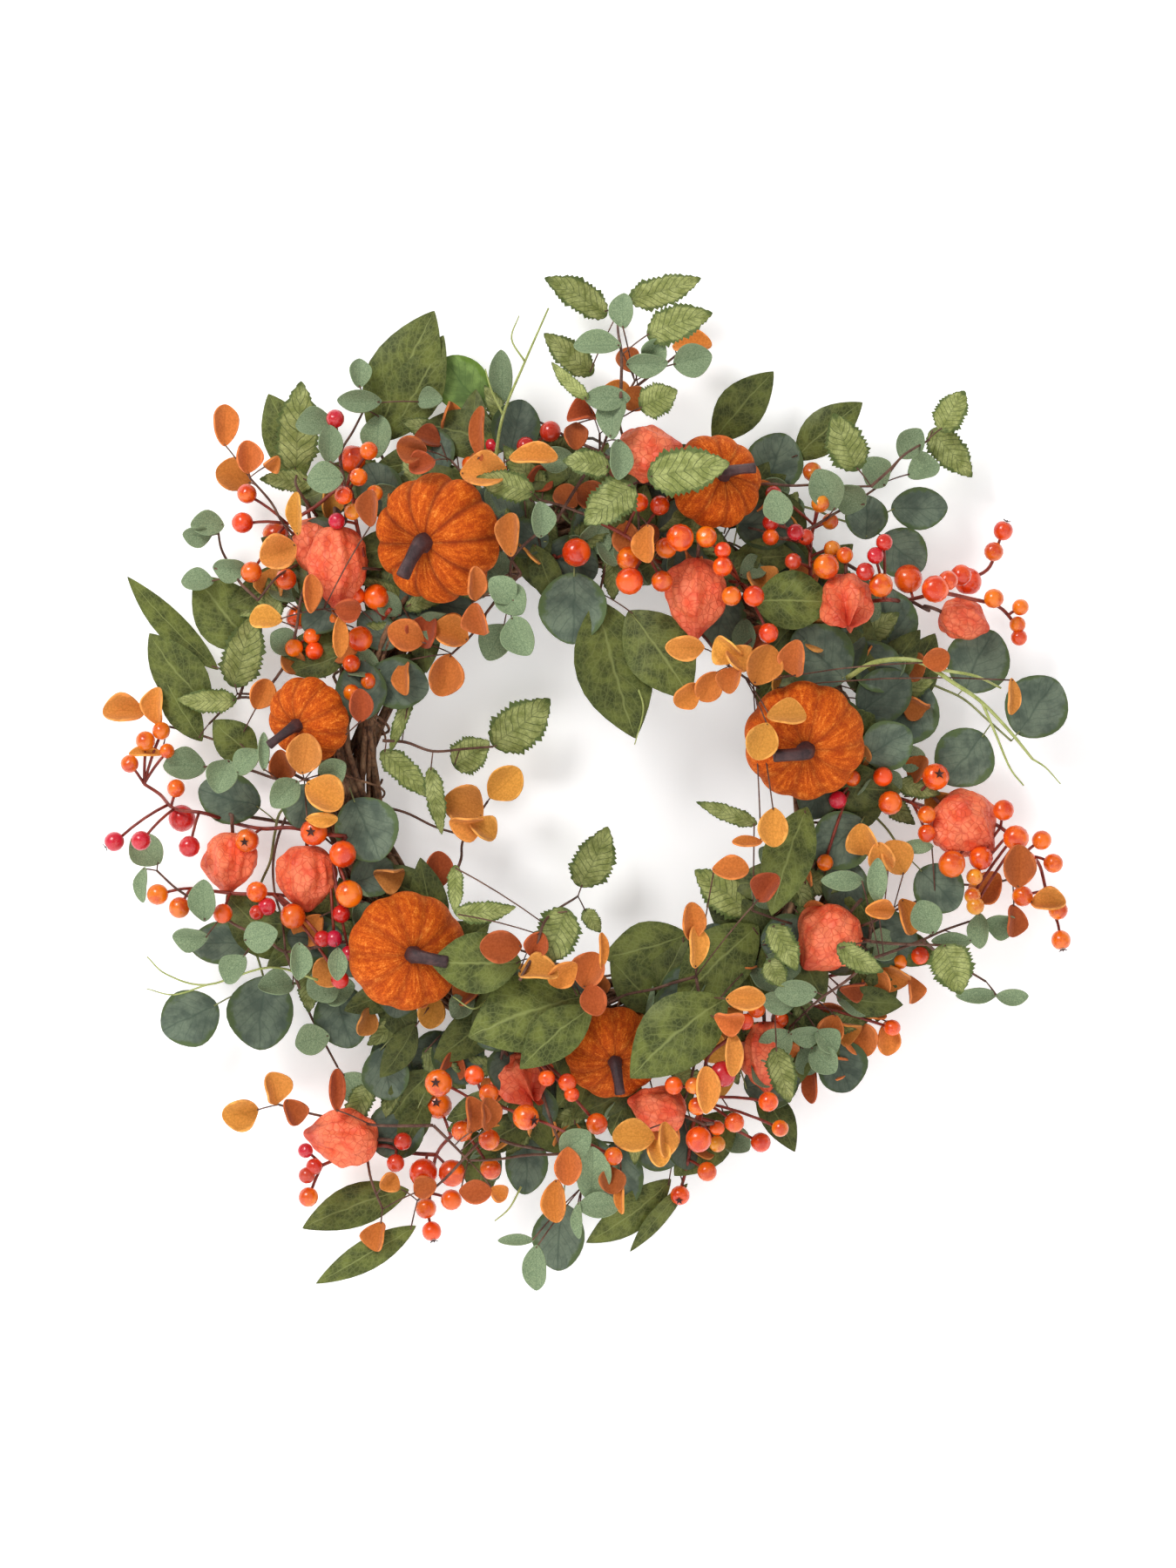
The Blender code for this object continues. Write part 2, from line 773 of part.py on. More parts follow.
def spread(front):
    """A front surface carried over to the cells next to it, so that its rim counts too."""
    padded = np.pad(front, 1, constant_values=-np.inf)
    rows, columns = front.shape
    shifts = [padded[i:i + rows, j:j + columns] for i in range(3) for j in range(3)]
    return np.max(shifts, axis=0)


def knots_of(chain):
    """A stem's points with more put in, so that it can follow what lies under it."""
    knots = [chain[0]]
    for start, end in zip(chain, chain[1:]):
        length = math.dist(start, end)
        pieces = max(1, math.ceil(length / KNOT_SPACING))
        for piece in range(1, pieces):
            share = piece / pieces
            knots.append((start[0] + (end[0] - start[0]) * share, start[1] + (end[1] - start[1]) * share))
        knots.append(end)
    return knots


def nearest(place, knots):
    return min(knots, key=lambda knot: math.dist(place, knot))


def stem_depths(pile, chains, twigs):
    """A depth for each knot, clear of the pile under its stems and under the twigs that leave it."""
    depths = {}

    def raise_to(knot, depth):
        depths[knot] = max(depths.get(knot, 0.0), depth)

    for knots in chains:
        for start, end in zip(knots, knots[1:]):
            depth = pile.rod_depth(start, end, STEM_RADIUS)
            raise_to(start, depth)
            raise_to(end, depth)
    for knot, base in twigs:
        raise_to(knot, pile.rod_depth(knot, base, WIRE_RADIUS))
    return depths


def stem_meshes(chains, depths):
    """A rod for each run between knots, a little long so that the rods join, and a little aside."""
    meshes = []
    for knots in chains:
        for first, second in zip(knots, knots[1:]):
            turn = 1.9 * len(meshes)
            aside = Vector((math.sin(turn), 0.5 * math.sin(2.3 * turn), math.cos(turn))) * 0.25 * MM
            start = point(*first, depths[first]) + aside
            end = point(*second, depths[second]) + aside
            extra = (end - start).normalized() * 0.8 * STEM_RADIUS * MM
            meshes.append(tube_mesh([start - extra, end + extra], STEM_RADIUS, resolution=0))
    return meshes


def add_stems_to_pile(pile, chains, depths):
    for knots in chains:
        for start, end in zip(knots, knots[1:]):
            pile.add_rod(start, end, max(depths[start], depths[end]), STEM_RADIUS)


def leaf_frame(heading, pitch, roll):
    """The turn that lays a leaf's X axis along a heading, tip lifted by pitch and one side by roll."""
    turn = math.radians(heading)
    along = Vector((math.cos(turn), 0.0, math.sin(turn)))
    across = Vector((-math.sin(turn), 0.0, math.cos(turn)))
    out = along.cross(across)
    flat = Matrix((along, across, out)).transposed().to_4x4()
    lift = Matrix.Rotation(-math.radians(pitch), 4, "Y")
    bank = Matrix.Rotation(math.radians(roll), 4, "X")
    return flat @ lift @ bank


def twig_root(knot, depth, index):
    """Where a twig starts inside its stem, a little aside so that no two twigs start alike."""
    return point(knot[0] + 0.3 * math.cos(index), knot[1] + 0.3 * math.sin(index), depth)


def add_leaf_spray(pile, spray, plates, materials, collection):
    """A stem with its leaves, as one body. The object's origin is at its foot, the first stem's first point."""
    chains = [knots_of(chain) for chain in spray.stems]
    knots = [knot for chain in chains for knot in chain]
    twigs = []
    for x, z, heading, length, _ in spray.leaves:
        turn = math.radians(heading)
        base = (x - 0.5 * length * math.cos(turn), z - 0.5 * length * math.sin(turn))
        twigs.append((nearest(base, knots), base))
    depths = stem_depths(pile, chains, twigs)
    meshes = []
    twig_meshes = []
    for index, (x, z, heading, length, width) in enumerate(spray.leaves):
        knot, base = twigs[index]
        pitch = spray.species.pitch * (1.0 + 0.6 * math.sin(2.4 * index))
        roll = spray.species.roll * math.cos(1.7 * index)
        plate = plates[spray.species.name].copy()
        plate.transform(Matrix.Diagonal((length * MM, width * MM, LEAF_THICKNESS * MM, 1.0)))
        plate.transform(Matrix.Translation(point(*base, 0.0)) @ leaf_frame(heading, pitch, roll))
        depth = pile.settle([plate], pile.rod_depth(knot, base, WIRE_RADIUS))
        meshes.append(plate)
        turn = math.radians(heading)
        inset = TWIG_INSET * length
        root = point(base[0] + inset * math.cos(turn), base[1] + inset * math.sin(turn), depth)
        root.y -= inset * math.sin(math.radians(pitch)) * MM
        start = twig_root(knot, depths[knot], index)
        twig_meshes.append(tube_mesh([start, root], WIRE_RADIUS, resolution=0))
        pile.add_rod(knot, base, max(depths[knot], depth), WIRE_RADIUS)
    stems = stem_meshes(chains, depths)
    add_stems_to_pile(pile, chains, depths)
    mesh = fused_mesh(stems[0], stems[1:] + twig_meshes + meshes)
    foot = point(*chains[0][0], depths[chains[0][0]])
    return add_node(spray.name, mesh, foot, materials[spray.species.name], collection)


def add_berry_spray(pile, spray, material, collection):
    """A wired stem with its berries, as one body."""
    chains = [knots_of(chain) for chain in spray.stems]
    knots = [knot for chain in chains for knot in chain]
    twigs = [(nearest((x, z), knots), (x, z)) for x, z, _ in spray.berries]
    depths = stem_depths(pile, chains, twigs)
    meshes = []
    for index, (x, z, radius) in enumerate(spray.berries):
        knot, place = twigs[index]
        berry = berry_mesh(radius * MM)
        berry.transform(Matrix.Translation(point(x, z, 0.0)))
        depth = pile.settle([berry], pile.rod_depth(knot, place, WIRE_RADIUS))
        meshes.append(berry)
        ends = [twig_root(knot, depths[knot], index), point(x, z, depth)]
        if (ends[1] - ends[0]).length > radius * MM:
            meshes.append(tube_mesh(ends, WIRE_RADIUS, resolution=0))
        pile.add_rod(knot, place, max(depths[knot], depth), WIRE_RADIUS)
    stems = stem_meshes(chains, depths)
    add_stems_to_pile(pile, chains, depths)
    mesh = fused_mesh(stems[0], stems[1:] + meshes)
    foot = point(*chains[0][0], depths[chains[0][0]])
    return add_node(spray.name, mesh, foot, material, collection)


def add_vine_ring(material, collection):
    """Strands that wind round the ring's centre line, side by side like the lay of a rope."""
    for strand in range(STRAND_COUNT):
        points = []
        for step in range(STRAND_POINTS):
            around = 2.0 * math.pi * step / STRAND_POINTS
            lay = STRAND_TWISTS * around + 2.0 * math.pi * strand / STRAND_COUNT
            reach = RING_RADIUS + STRAND_OFFSET * math.cos(lay)
            depth = RING_DEPTH + STRAND_OFFSET * math.sin(lay)
            points.append(point(reach * math.cos(around), reach * math.sin(around), depth))
        mesh = tube_mesh(points, STRAND_RADIUS, closed=True)
        add_node(f"vine_strand_{strand + 1}", mesh, point(0, 0, RING_DEPTH), material, collection)


def add_hanger(wire_material, collection):
    """The bar tied behind the ring's top, the two wires that tie it, and the loop that swings on it."""
    top = RING_RADIUS
    half = BAR_LENGTH / 2.0
    bar = tube_mesh([point(-half, top, BAR_DEPTH), point(half, top, BAR_DEPTH)], BAR_RADIUS)
    add_node("hanger_bar", bar, point(0, top, BAR_DEPTH), wire_material, collection)

    for side, name in ((-1, "left"), (1, "right")):
        middle = math.pi / 2.0 - side * math.asin(BINDING_X / RING_RADIUS)
        points = []
        for step in range(BINDING_STEPS):
            turn = 2.0 * math.pi * step / BINDING_STEPS
            rear = max(0.0, -math.sin(turn)) ** BINDING_BULGE_SHARPNESS
            reach = BINDING_CLEARANCE - BINDING_RADIUS - BINDING_GAP + BINDING_BULGE * rear
            across = RING_RADIUS + reach * math.cos(turn)
            depth = RING_DEPTH + reach * math.sin(turn)
            points.append(point(across * math.cos(middle), across * math.sin(middle), depth))
        wire = tube_mesh(points, BINDING_RADIUS, closed=True, resolution=0)
        add_node(f"binding_wire_{name}", wire, point(0, top, BAR_DEPTH), wire_material, collection)

    arm = LOOP_WIDTH / 2.0
    arch = [point(-arm, top + EYELET_RADIUS, BAR_DEPTH), point(-arm, top + LOOP_HEIGHT - arm, BAR_DEPTH)]
    for step in range(1, 7):
        turn = math.pi * (1.0 - step / 7.0)
        rise = (arm + LOOP_WIRE_RADIUS) * math.sin(turn)
        arch.append(point(arm * math.cos(turn), top + LOOP_HEIGHT - arm + rise, BAR_DEPTH))
    arch.append(point(arm, top + LOOP_HEIGHT - arm, BAR_DEPTH))
    arch.append(point(arm, top + EYELET_RADIUS, BAR_DEPTH))
    eyelets = []
    for side in (-1, 1):
        ring = []
        for step in range(10):
            turn = 2.0 * math.pi * step / 10
            depth = BAR_DEPTH + EYELET_RADIUS * math.sin(turn)
            ring.append(point(side * arm, top + EYELET_RADIUS * math.cos(turn), depth))
        eyelets.append(tube_mesh(ring, LOOP_WIRE_RADIUS, closed=True))
    loop = fused_mesh(tube_mesh(arch, LOOP_WIRE_RADIUS), eyelets)
    add_node("hanging_loop", loop, point(0, top, BAR_DEPTH), wire_material, collection)


def pumpkin_mesh(radius):
    """A squat ball with ribs, a dimple at each end and a flatter back, its axis along Z."""
    columns = 2 * PUMPKIN_RIBS
    mesh = sphere_mesh(radius * MM, columns, 8)
    for vertex in mesh.vertices:
        out = math.hypot(vertex.co.x, vertex.co.y) / (radius * MM)
        column = round(math.atan2(vertex.co.y, vertex.co.x) * columns / (2.0 * math.pi))
        girth = 1.0 if column % 2 else 1.0 - PUMPKIN_GROOVE
        vertex.co.x *= girth
        vertex.co.y *= girth
        half = PUMPKIN_FRONT if vertex.co.z > 0.0 else PUMPKIN_BACK
        vertex.co.z *= half * (1.0 - PUMPKIN_DIMPLE * (1.0 - out) ** 2)
    return mesh


def add_pumpkin(pile, pumpkin, skin, bark, collection):
    """A velvet pumpkin with its crown towards the viewer, and its hooked stem."""
    squat = PUMPKIN_FRONT * pumpkin.radius
    rise = math.sqrt(squat ** 2 - pumpkin.lean_x ** 2 - pumpkin.lean_z ** 2)
    axis = Vector((pumpkin.lean_x, -rise, pumpkin.lean_z)).normalized()
    turn = axis.to_track_quat("Z", "Y").to_matrix().to_4x4()
    body = pumpkin_mesh(pumpkin.radius)
    body.transform(Matrix.Translation(point(pumpkin.x, pumpkin.z, 0.0)) @ turn)

    crown = PUMPKIN_FRONT * (1.0 - PUMPKIN_DIMPLE) * pumpkin.radius
    foot = point(pumpkin.x, pumpkin.z, 0.0) + axis * (crown + STEM_LIFT) * MM
    heading = math.radians(pumpkin.stem_heading)
    aside = Vector((math.cos(heading), 0.0, math.sin(heading)))
    reach = STEM_REACH * pumpkin.radius * MM
    points = [
        foot,
        foot + axis * STEM_BEND * MM,
        foot + axis * STEM_TURN * MM + aside * 0.4 * reach,
        foot + axis * STEM_TOP * MM + aside * reach,
    ]
    stem = tube_mesh(points, STEM_THICKNESS, radii=STEM_FLARES)
    depth = pile.settle([body, stem])
    origin = point(pumpkin.x, pumpkin.z, depth)
    add_node(pumpkin.name, body, origin, skin, collection)
    add_node(f"{pumpkin.name}_stem", stem, origin, bark, collection)


def pod_mesh(length, width):
    """A papery pod along X: a ten-sided ball, a little flat, and narrower towards its tip."""
    mesh = sphere_mesh(1.0, 10, 6)
    for vertex in mesh.vertices:
        across, deep, along = vertex.co
        girth = 0.5 * width * (1.0 - POD_TAPER * max(0.0, along))
        vertex.co = Vector((0.5 * length * along, girth * across, POD_FLATNESS * girth * deep)) * MM
    return mesh


def add_lantern_pick(pile, pick, material, collection):
    """One or two pods on one wired stem, as one body."""
    feet = []
    for x, z, length, width, heading in pick.pods:
        turn = math.radians(heading)
        reach = 0.5 * length + POD_WIRE
        feet.append((x - reach * math.cos(turn), z - reach * math.sin(turn)))
    pods = []
    wires = []
    for index, (x, z, length, width, heading) in enumerate(pick.pods):
        pod = pod_mesh(length, width)
        pod.transform(Matrix.Translation(point(x, z, 0.0)) @ leaf_frame(heading, 0.0, 0.0))
        turn = math.radians(heading)
        neck = (x - 0.4 * length * math.cos(turn), z - 0.4 * length * math.sin(turn))
        depth = pile.settle([pod], pile.rod_depth(feet[index], neck, STEM_RADIUS))
        pods.append(pod)
        wires.append((feet[index], neck, depth))
    depths = {foot: depth for foot, _, depth in wires}
    chains = []
    if len(feet) > 1:
        chains = [knots_of(feet)]
        for knot, depth in stem_depths(pile, chains, []).items():
            depths[knot] = max(depths.get(knot, 0.0), depth)
    meshes = stem_meshes(chains, depths)
    for foot, neck, depth in wires:
        meshes.append(tube_mesh([point(*foot, depths[foot]), point(*neck, depth)], STEM_RADIUS))
        pile.add_rod(foot, neck, depths[foot], STEM_RADIUS)
    add_stems_to_pile(pile, chains, depths)
    origin = point(*feet[0], depths[feet[0]])
    add_node(pick.name, fused_mesh(pods[0], pods[1:] + meshes), origin, material, collection)


def main():
    clear_scene()
    collection = make_collection(COLLECTION_NAME)
    vine = make_material("vine", (0.115, 0.055, 0.030), 0.85)
    wire = make_material("hanger_wire", (0.28, 0.28, 0.30), 0.4, 0.9)
    velvet = make_material("velvet", (0.62, 0.10, 0.012), 0.8)
    bark = make_material("pumpkin_stem", (0.06, 0.025, 0.03), 0.6)
    paper = make_material("lantern_paper", (0.84, 0.13, 0.045), 0.6)
    berry = make_material("berry", (0.86, 0.17, 0.02), 0.25)
    plates = {}
    finishes = {}
    for species in (LEMON, EUCALYPTUS, SAGE, FELT, MINT):
        plates[species.name] = leaf_mesh(species)
        finishes[species.name] = make_material(species.name, species.colour, species.roughness)

    add_vine_ring(vine, collection)
    add_hanger(wire, collection)
    pile = Pile()
    for spray in BACK_SPRAYS:
        add_leaf_spray(pile, spray, plates, finishes, collection)
    for pumpkin in PUMPKINS:
        add_pumpkin(pile, pumpkin, velvet, bark, collection)
    for pick in LANTERNS:
        add_lantern_pick(pile, pick, paper, collection)
    for spray in BERRY_SPRAYS:
        add_berry_spray(pile, spray, berry, collection)
    for spray in FRONT_SPRAYS:
        add_leaf_spray(pile, spray, plates, finishes, collection)
    for plate in plates.values():
        bpy.data.meshes.remove(plate)


main()
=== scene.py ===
"""Looks of a harvest door wreath: velvet pumpkins, paper lanterns, berries and leaves on a grapevine ring.

Written for Blender 4.5, in metres, +Z up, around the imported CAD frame. The wreath hangs against a wall in
the plane y = 0 and faces -Y. The layout is in millimetres from the ring's centre: x to the right, z up. How
far forward a leaf, berry or stem lies is read from the CAD pieces it stands for.
"""

import colorsys
import logging
import math
import random
from dataclasses import dataclass, field
from enum import Enum
from typing import Optional, Sequence, Union

import bpy
import numpy as np
from mathutils import Matrix, Vector, noise
from mathutils.bvhtree import BVHTree


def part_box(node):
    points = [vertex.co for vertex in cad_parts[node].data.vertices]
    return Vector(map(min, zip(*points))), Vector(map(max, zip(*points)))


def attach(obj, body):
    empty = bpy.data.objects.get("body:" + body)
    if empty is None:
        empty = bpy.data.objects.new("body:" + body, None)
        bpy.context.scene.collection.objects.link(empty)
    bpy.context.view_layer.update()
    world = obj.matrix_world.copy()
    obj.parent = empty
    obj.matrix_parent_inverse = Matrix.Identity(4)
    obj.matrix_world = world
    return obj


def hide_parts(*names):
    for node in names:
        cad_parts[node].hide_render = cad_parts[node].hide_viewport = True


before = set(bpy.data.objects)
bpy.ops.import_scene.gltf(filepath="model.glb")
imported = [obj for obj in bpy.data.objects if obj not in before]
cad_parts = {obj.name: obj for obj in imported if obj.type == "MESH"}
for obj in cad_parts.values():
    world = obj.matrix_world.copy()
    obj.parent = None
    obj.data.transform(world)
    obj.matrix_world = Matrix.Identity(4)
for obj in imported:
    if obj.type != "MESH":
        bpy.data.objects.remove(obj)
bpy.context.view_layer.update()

MM = 0.001
RING_CENTRE_Z = -236.0
RING_RADIUS = 166.0
RING_DEPTH = 31.0

# The greatest phase that is drawn for a wave, about a whole turn
ANY_PHASE = 6.28

# No dye is brighter than this, on the scale where white is 1
BRIGHTEST = 2.2

logging.basicConfig(level=logging.INFO, format="%(levelname)s %(message)s")
log = logging.getLogger("wreath")

Piece = bpy.types.Object
Material = bpy.types.Material
Node = bpy.types.Node
Socket = bpy.types.NodeSocket
Colour = tuple[float, float, float, float]
Value = Union[float, Colour, Socket]
Leaf = tuple
Berry = tuple
Knot = tuple[float, float]


# ---------------------------------------------------------------------------------------------- helpers


def point(x: float, z: float, depth: float) -> Vector:
    """A place in the frame, from millimetres off the ring's centre and a depth forward of the wall."""
    return Vector((x, -depth, RING_CENTRE_Z + z)) * MM


def dye(red: int, green: int, blue: int) -> Colour:
    """A paint-chart colour, 0 to 255 a channel, as the linear colour that shaders take.

    Args:
        red: red channel.
        green: green channel.
        blue: blue channel.

    Returns:
        Linear red, green, blue and a full alpha.
    """
    parts = []
    for channel in (red, green, blue):
        share = channel / 255.0
        parts.append(share / 12.92 if share <= 0.04045 else ((share + 0.055) / 1.055) ** 2.4)
    return (parts[0], parts[1], parts[2], 1.0)


def deselect() -> None:
    """Leaves nothing selected, in object mode."""
    if bpy.context.mode != "OBJECT":
        bpy.ops.object.mode_set(mode="OBJECT")
    bpy.ops.object.select_all(action="DESELECT")


def activate(*pieces: Piece) -> None:
    """Selects the given pieces only and makes the first of them active.

    Args:
        *pieces: the pieces to select.
    """
    deselect()
    for piece in pieces:
        piece.select_set(True)
    bpy.context.view_layer.objects.active = pieces[0]


def newest() -> Piece:
    """The piece that was made or joined last."""
    return bpy.context.view_layer.objects.active


def join(pieces: list[Piece], name: str) -> Piece:
    """Joins pieces into one object.

    Args:
        pieces: the pieces, the first of which is kept.
        name: the joined object's name.

    Returns:
        The joined object.
    """
    activate(*pieces)
    if len(pieces) > 1:
        bpy.ops.object.join()
    joined = newest()
    joined.name = name
    joined.data.name = name
    return joined


def apply_modifiers(piece: Piece) -> None:
    """Applies every modifier on a piece, in their order."""
    activate(piece)
    for modifier in list(piece.modifiers):
        bpy.ops.object.modifier_apply(modifier=modifier.name)


def merge_and_face_out(piece: Piece, distance: float = 1e-6) -> None:
    """Merges doubled points and turns every face outwards.

    Args:
        piece: the mesh to clean.
        distance: points closer than this become one, metres.
    """
    activate(piece)
    bpy.ops.object.mode_set(mode="EDIT")
    bpy.ops.mesh.select_all(action="SELECT")
    bpy.ops.mesh.remove_doubles(threshold=distance)
    bpy.ops.mesh.normals_make_consistent(inside=False)
    bpy.ops.object.mode_set(mode="OBJECT")


def get_points(piece: Piece) -> np.ndarray:
    """The mesh's points as rows.

    Args:
        piece: a mesh object.

    Returns:
        An array with one row of x, y, z for each point.
    """
    flat = np.zeros(len(piece.data.vertices) * 3)
    piece.data.vertices.foreach_get("co", flat)
    return flat.reshape(-1, 3)


def set_points(piece: Piece, rows: np.ndarray) -> None:
    """Moves the mesh's points."""
    piece.data.vertices.foreach_set("co", rows.reshape(-1))
    piece.data.update()


def copy_of(piece: Piece, name: str) -> Piece:
    """A copy with its own mesh, in the scene.

    Args:
        piece: what to copy.
        name: the copy's name.

    Returns:
        The copy.
    """
    copied = piece.copy()
    copied.data = piece.data.copy()
    copied.name = name
    bpy.context.scene.collection.objects.link(copied)
    return copied


def drop(piece: Piece) -> None:
    """Removes a helper object."""
    bpy.data.objects.remove(piece, do_unlink=True)


def stain(piece: Piece, colour: Colour) -> None:
    """Writes one colour over a mesh's "dye" attribute.

    Args:
        piece: the mesh to stain.
        colour: linear colour.
    """
    layer = piece.data.color_attributes.get("dye")
    if layer is None:
        layer = piece.data.color_attributes.new("dye", "FLOAT_COLOR", "POINT")
    layer.data.foreach_set("color", np.tile(colour, len(piece.data.vertices)))


def dress(piece: Piece, material: Material) -> None:
    """Gives a piece one finish in place of any it has."""
    piece.data.materials.clear()
    piece.data.materials.append(material)


def thicken(piece: Piece, thickness: float) -> None:
    """Gives a thin sheet its thickness, half to each side, in its own units."""
    solid = piece.modifiers.new("thickness", "SOLIDIFY")
    solid.thickness = thickness
    solid.offset = 0.0
    apply_modifiers(piece)


def soften(piece: Piece) -> None:
    """Rounds a piece by one step of subdivision."""
    smooth = piece.modifiers.new("smooth", "SUBSURF")
    smooth.levels = 1
    smooth.render_levels = 1
    apply_modifiers(piece)


def shifted(colour: Colour, hue: float, lighter: float) -> Colour:
    """A neighbour of a colour.

    Args:
        colour: linear colour.
        hue: turn of the hue, as a share of the colour wheel.
        lighter: factor on the brightness.

    Returns:
        The shifted colour.
    """
    h, s, v = colorsys.rgb_to_hsv(*colour[:3])
    red, green, blue = colorsys.hsv_to_rgb((h + hue) % 1.0, s, min(BRIGHTEST, v * lighter))
    return (red, green, blue, 1.0)


def finish_piece(piece: Piece, body: str, nodes: Sequence[str] = ()) -> None:
    """Hangs a finished piece on its body and reports it.

    Args:
        piece: the finished piece.
        body: the CAD body it rides on.
        nodes: the CAD nodes it stands for.
    """
    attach(piece, body)
    if nodes:
        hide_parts(*nodes)
    log.info("%s: %d faces on %s", piece.name, len(piece.data.polygons), body)


# ---------------------------------------------------------------------------------------------- node work


class Shade:
    """A small bench for wiring one material or node group."""

    def __init__(self, tree: bpy.types.NodeTree) -> None:
        """Takes the node tree to work in."""
        self.tree = tree

    def add(self, kind: str, inputs: Optional[dict] = None, **settings: object) -> Node:
        """Adds a node.

        Args:
            kind: the node's type, without its "ShaderNode" prefix.
            inputs: values or output sockets for its inputs, by name or number.
            **settings: the node's own properties.

        Returns:
            The node.
        """
        node = self.tree.nodes.new(f"ShaderNode{kind}")
        for name, value in settings.items():
            setattr(node, name, value)
        for name, value in (inputs or {}).items():
            self.feed(node.inputs[name], value)
        return node

    def feed(self, socket: Socket, value: object) -> None:
        """Gives an input its value.

        Args:
            socket: the input.
            value: a number or colour, or the output socket to link.
        """
        if isinstance(value, Socket):
            self.tree.links.new(value, socket)
        else:
            socket.default_value = value

    def math(self, operation: str, *values: Value) -> Socket:
        """A Math node's result."""
        node = self.add("Math", dict(enumerate(values)), operation=operation)
        return node.outputs[0]

    def mix(self, share: Value, first: Value, second: Value, blend: str = "MIX") -> Socket:
        """Two colours mixed."""
        node = self.add("Mix", {0: share, 6: first, 7: second}, data_type="RGBA", blend_type=blend)
        return node.outputs[2]

    def span(self, value: Value, low: Value, high: Value, to_low: float = 0.0,
             to_high: float = 1.0) -> Socket:
        """A value's range stretched smoothly to another range."""
        inputs = {"Value": value, "From Min": low, "From Max": high, "To Min": to_low, "To Max": to_high}
        return self.add("MapRange", inputs, interpolation_type="SMOOTHSTEP").outputs["Result"]

    def group(self, group: bpy.types.NodeTree, inputs: dict) -> Node:
        """Places a node group.

        Args:
            group: the group's tree.
            inputs: values or sockets by input name.

        Returns:
            The group's node.
        """
        return self.add("Group", inputs, node_tree=group)

    def times(self, first: Value, second: Value) -> Socket:
        """The product of two values."""
        return self.math("MULTIPLY", first, second)

    def plus(self, first: Value, second: Value) -> Socket:
        """The sum of two values."""
        return self.math("ADD", first, second)

    def minus(self, first: Value, second: Value) -> Socket:
        """The first value less the second."""
        return self.math("SUBTRACT", first, second)

    def off_middle(self, share: Value) -> Socket:
        """How far a value from 0 to 1 is from one half."""
        return self.math("ABSOLUTE", self.minus(share, 0.5))

    def place(self) -> Socket:
        """The place on the piece, metres."""
        return self.add("TexCoord").outputs["Object"]

    def chart(self) -> Socket:
        """The piece's own map."""
        return self.add("UVMap", uv_map="UVMap").outputs["UV"]

    def dyed(self) -> Socket:
        """The colour in the piece's "dye" attribute."""
        return self.add("Attribute", attribute_name="dye").outputs["Color"]


def new_group(name: str, inputs: dict[str, tuple[str, object]],
              outputs: dict[str, str]) -> tuple[Shade, Node, Node]:
    """An empty node group with named sockets.

    Args:
        name: the group's name.
        inputs: socket type and value by name.
        outputs: socket type by name.

    Returns:
        The bench, the input node and the output node.
    """
    tree = bpy.data.node_groups.new(name, "ShaderNodeTree")
    for label, (kind, value) in inputs.items():
        socket = tree.interface.new_socket(label, in_out="INPUT", socket_type=f"NodeSocket{kind}")
        if value is not None:
            socket.default_value = value
    for label, kind in outputs.items():
        tree.interface.new_socket(label, in_out="OUTPUT", socket_type=f"NodeSocket{kind}")
    bench = Shade(tree)
    return bench, tree.nodes.new("NodeGroupInput"), tree.nodes.new("NodeGroupOutput")


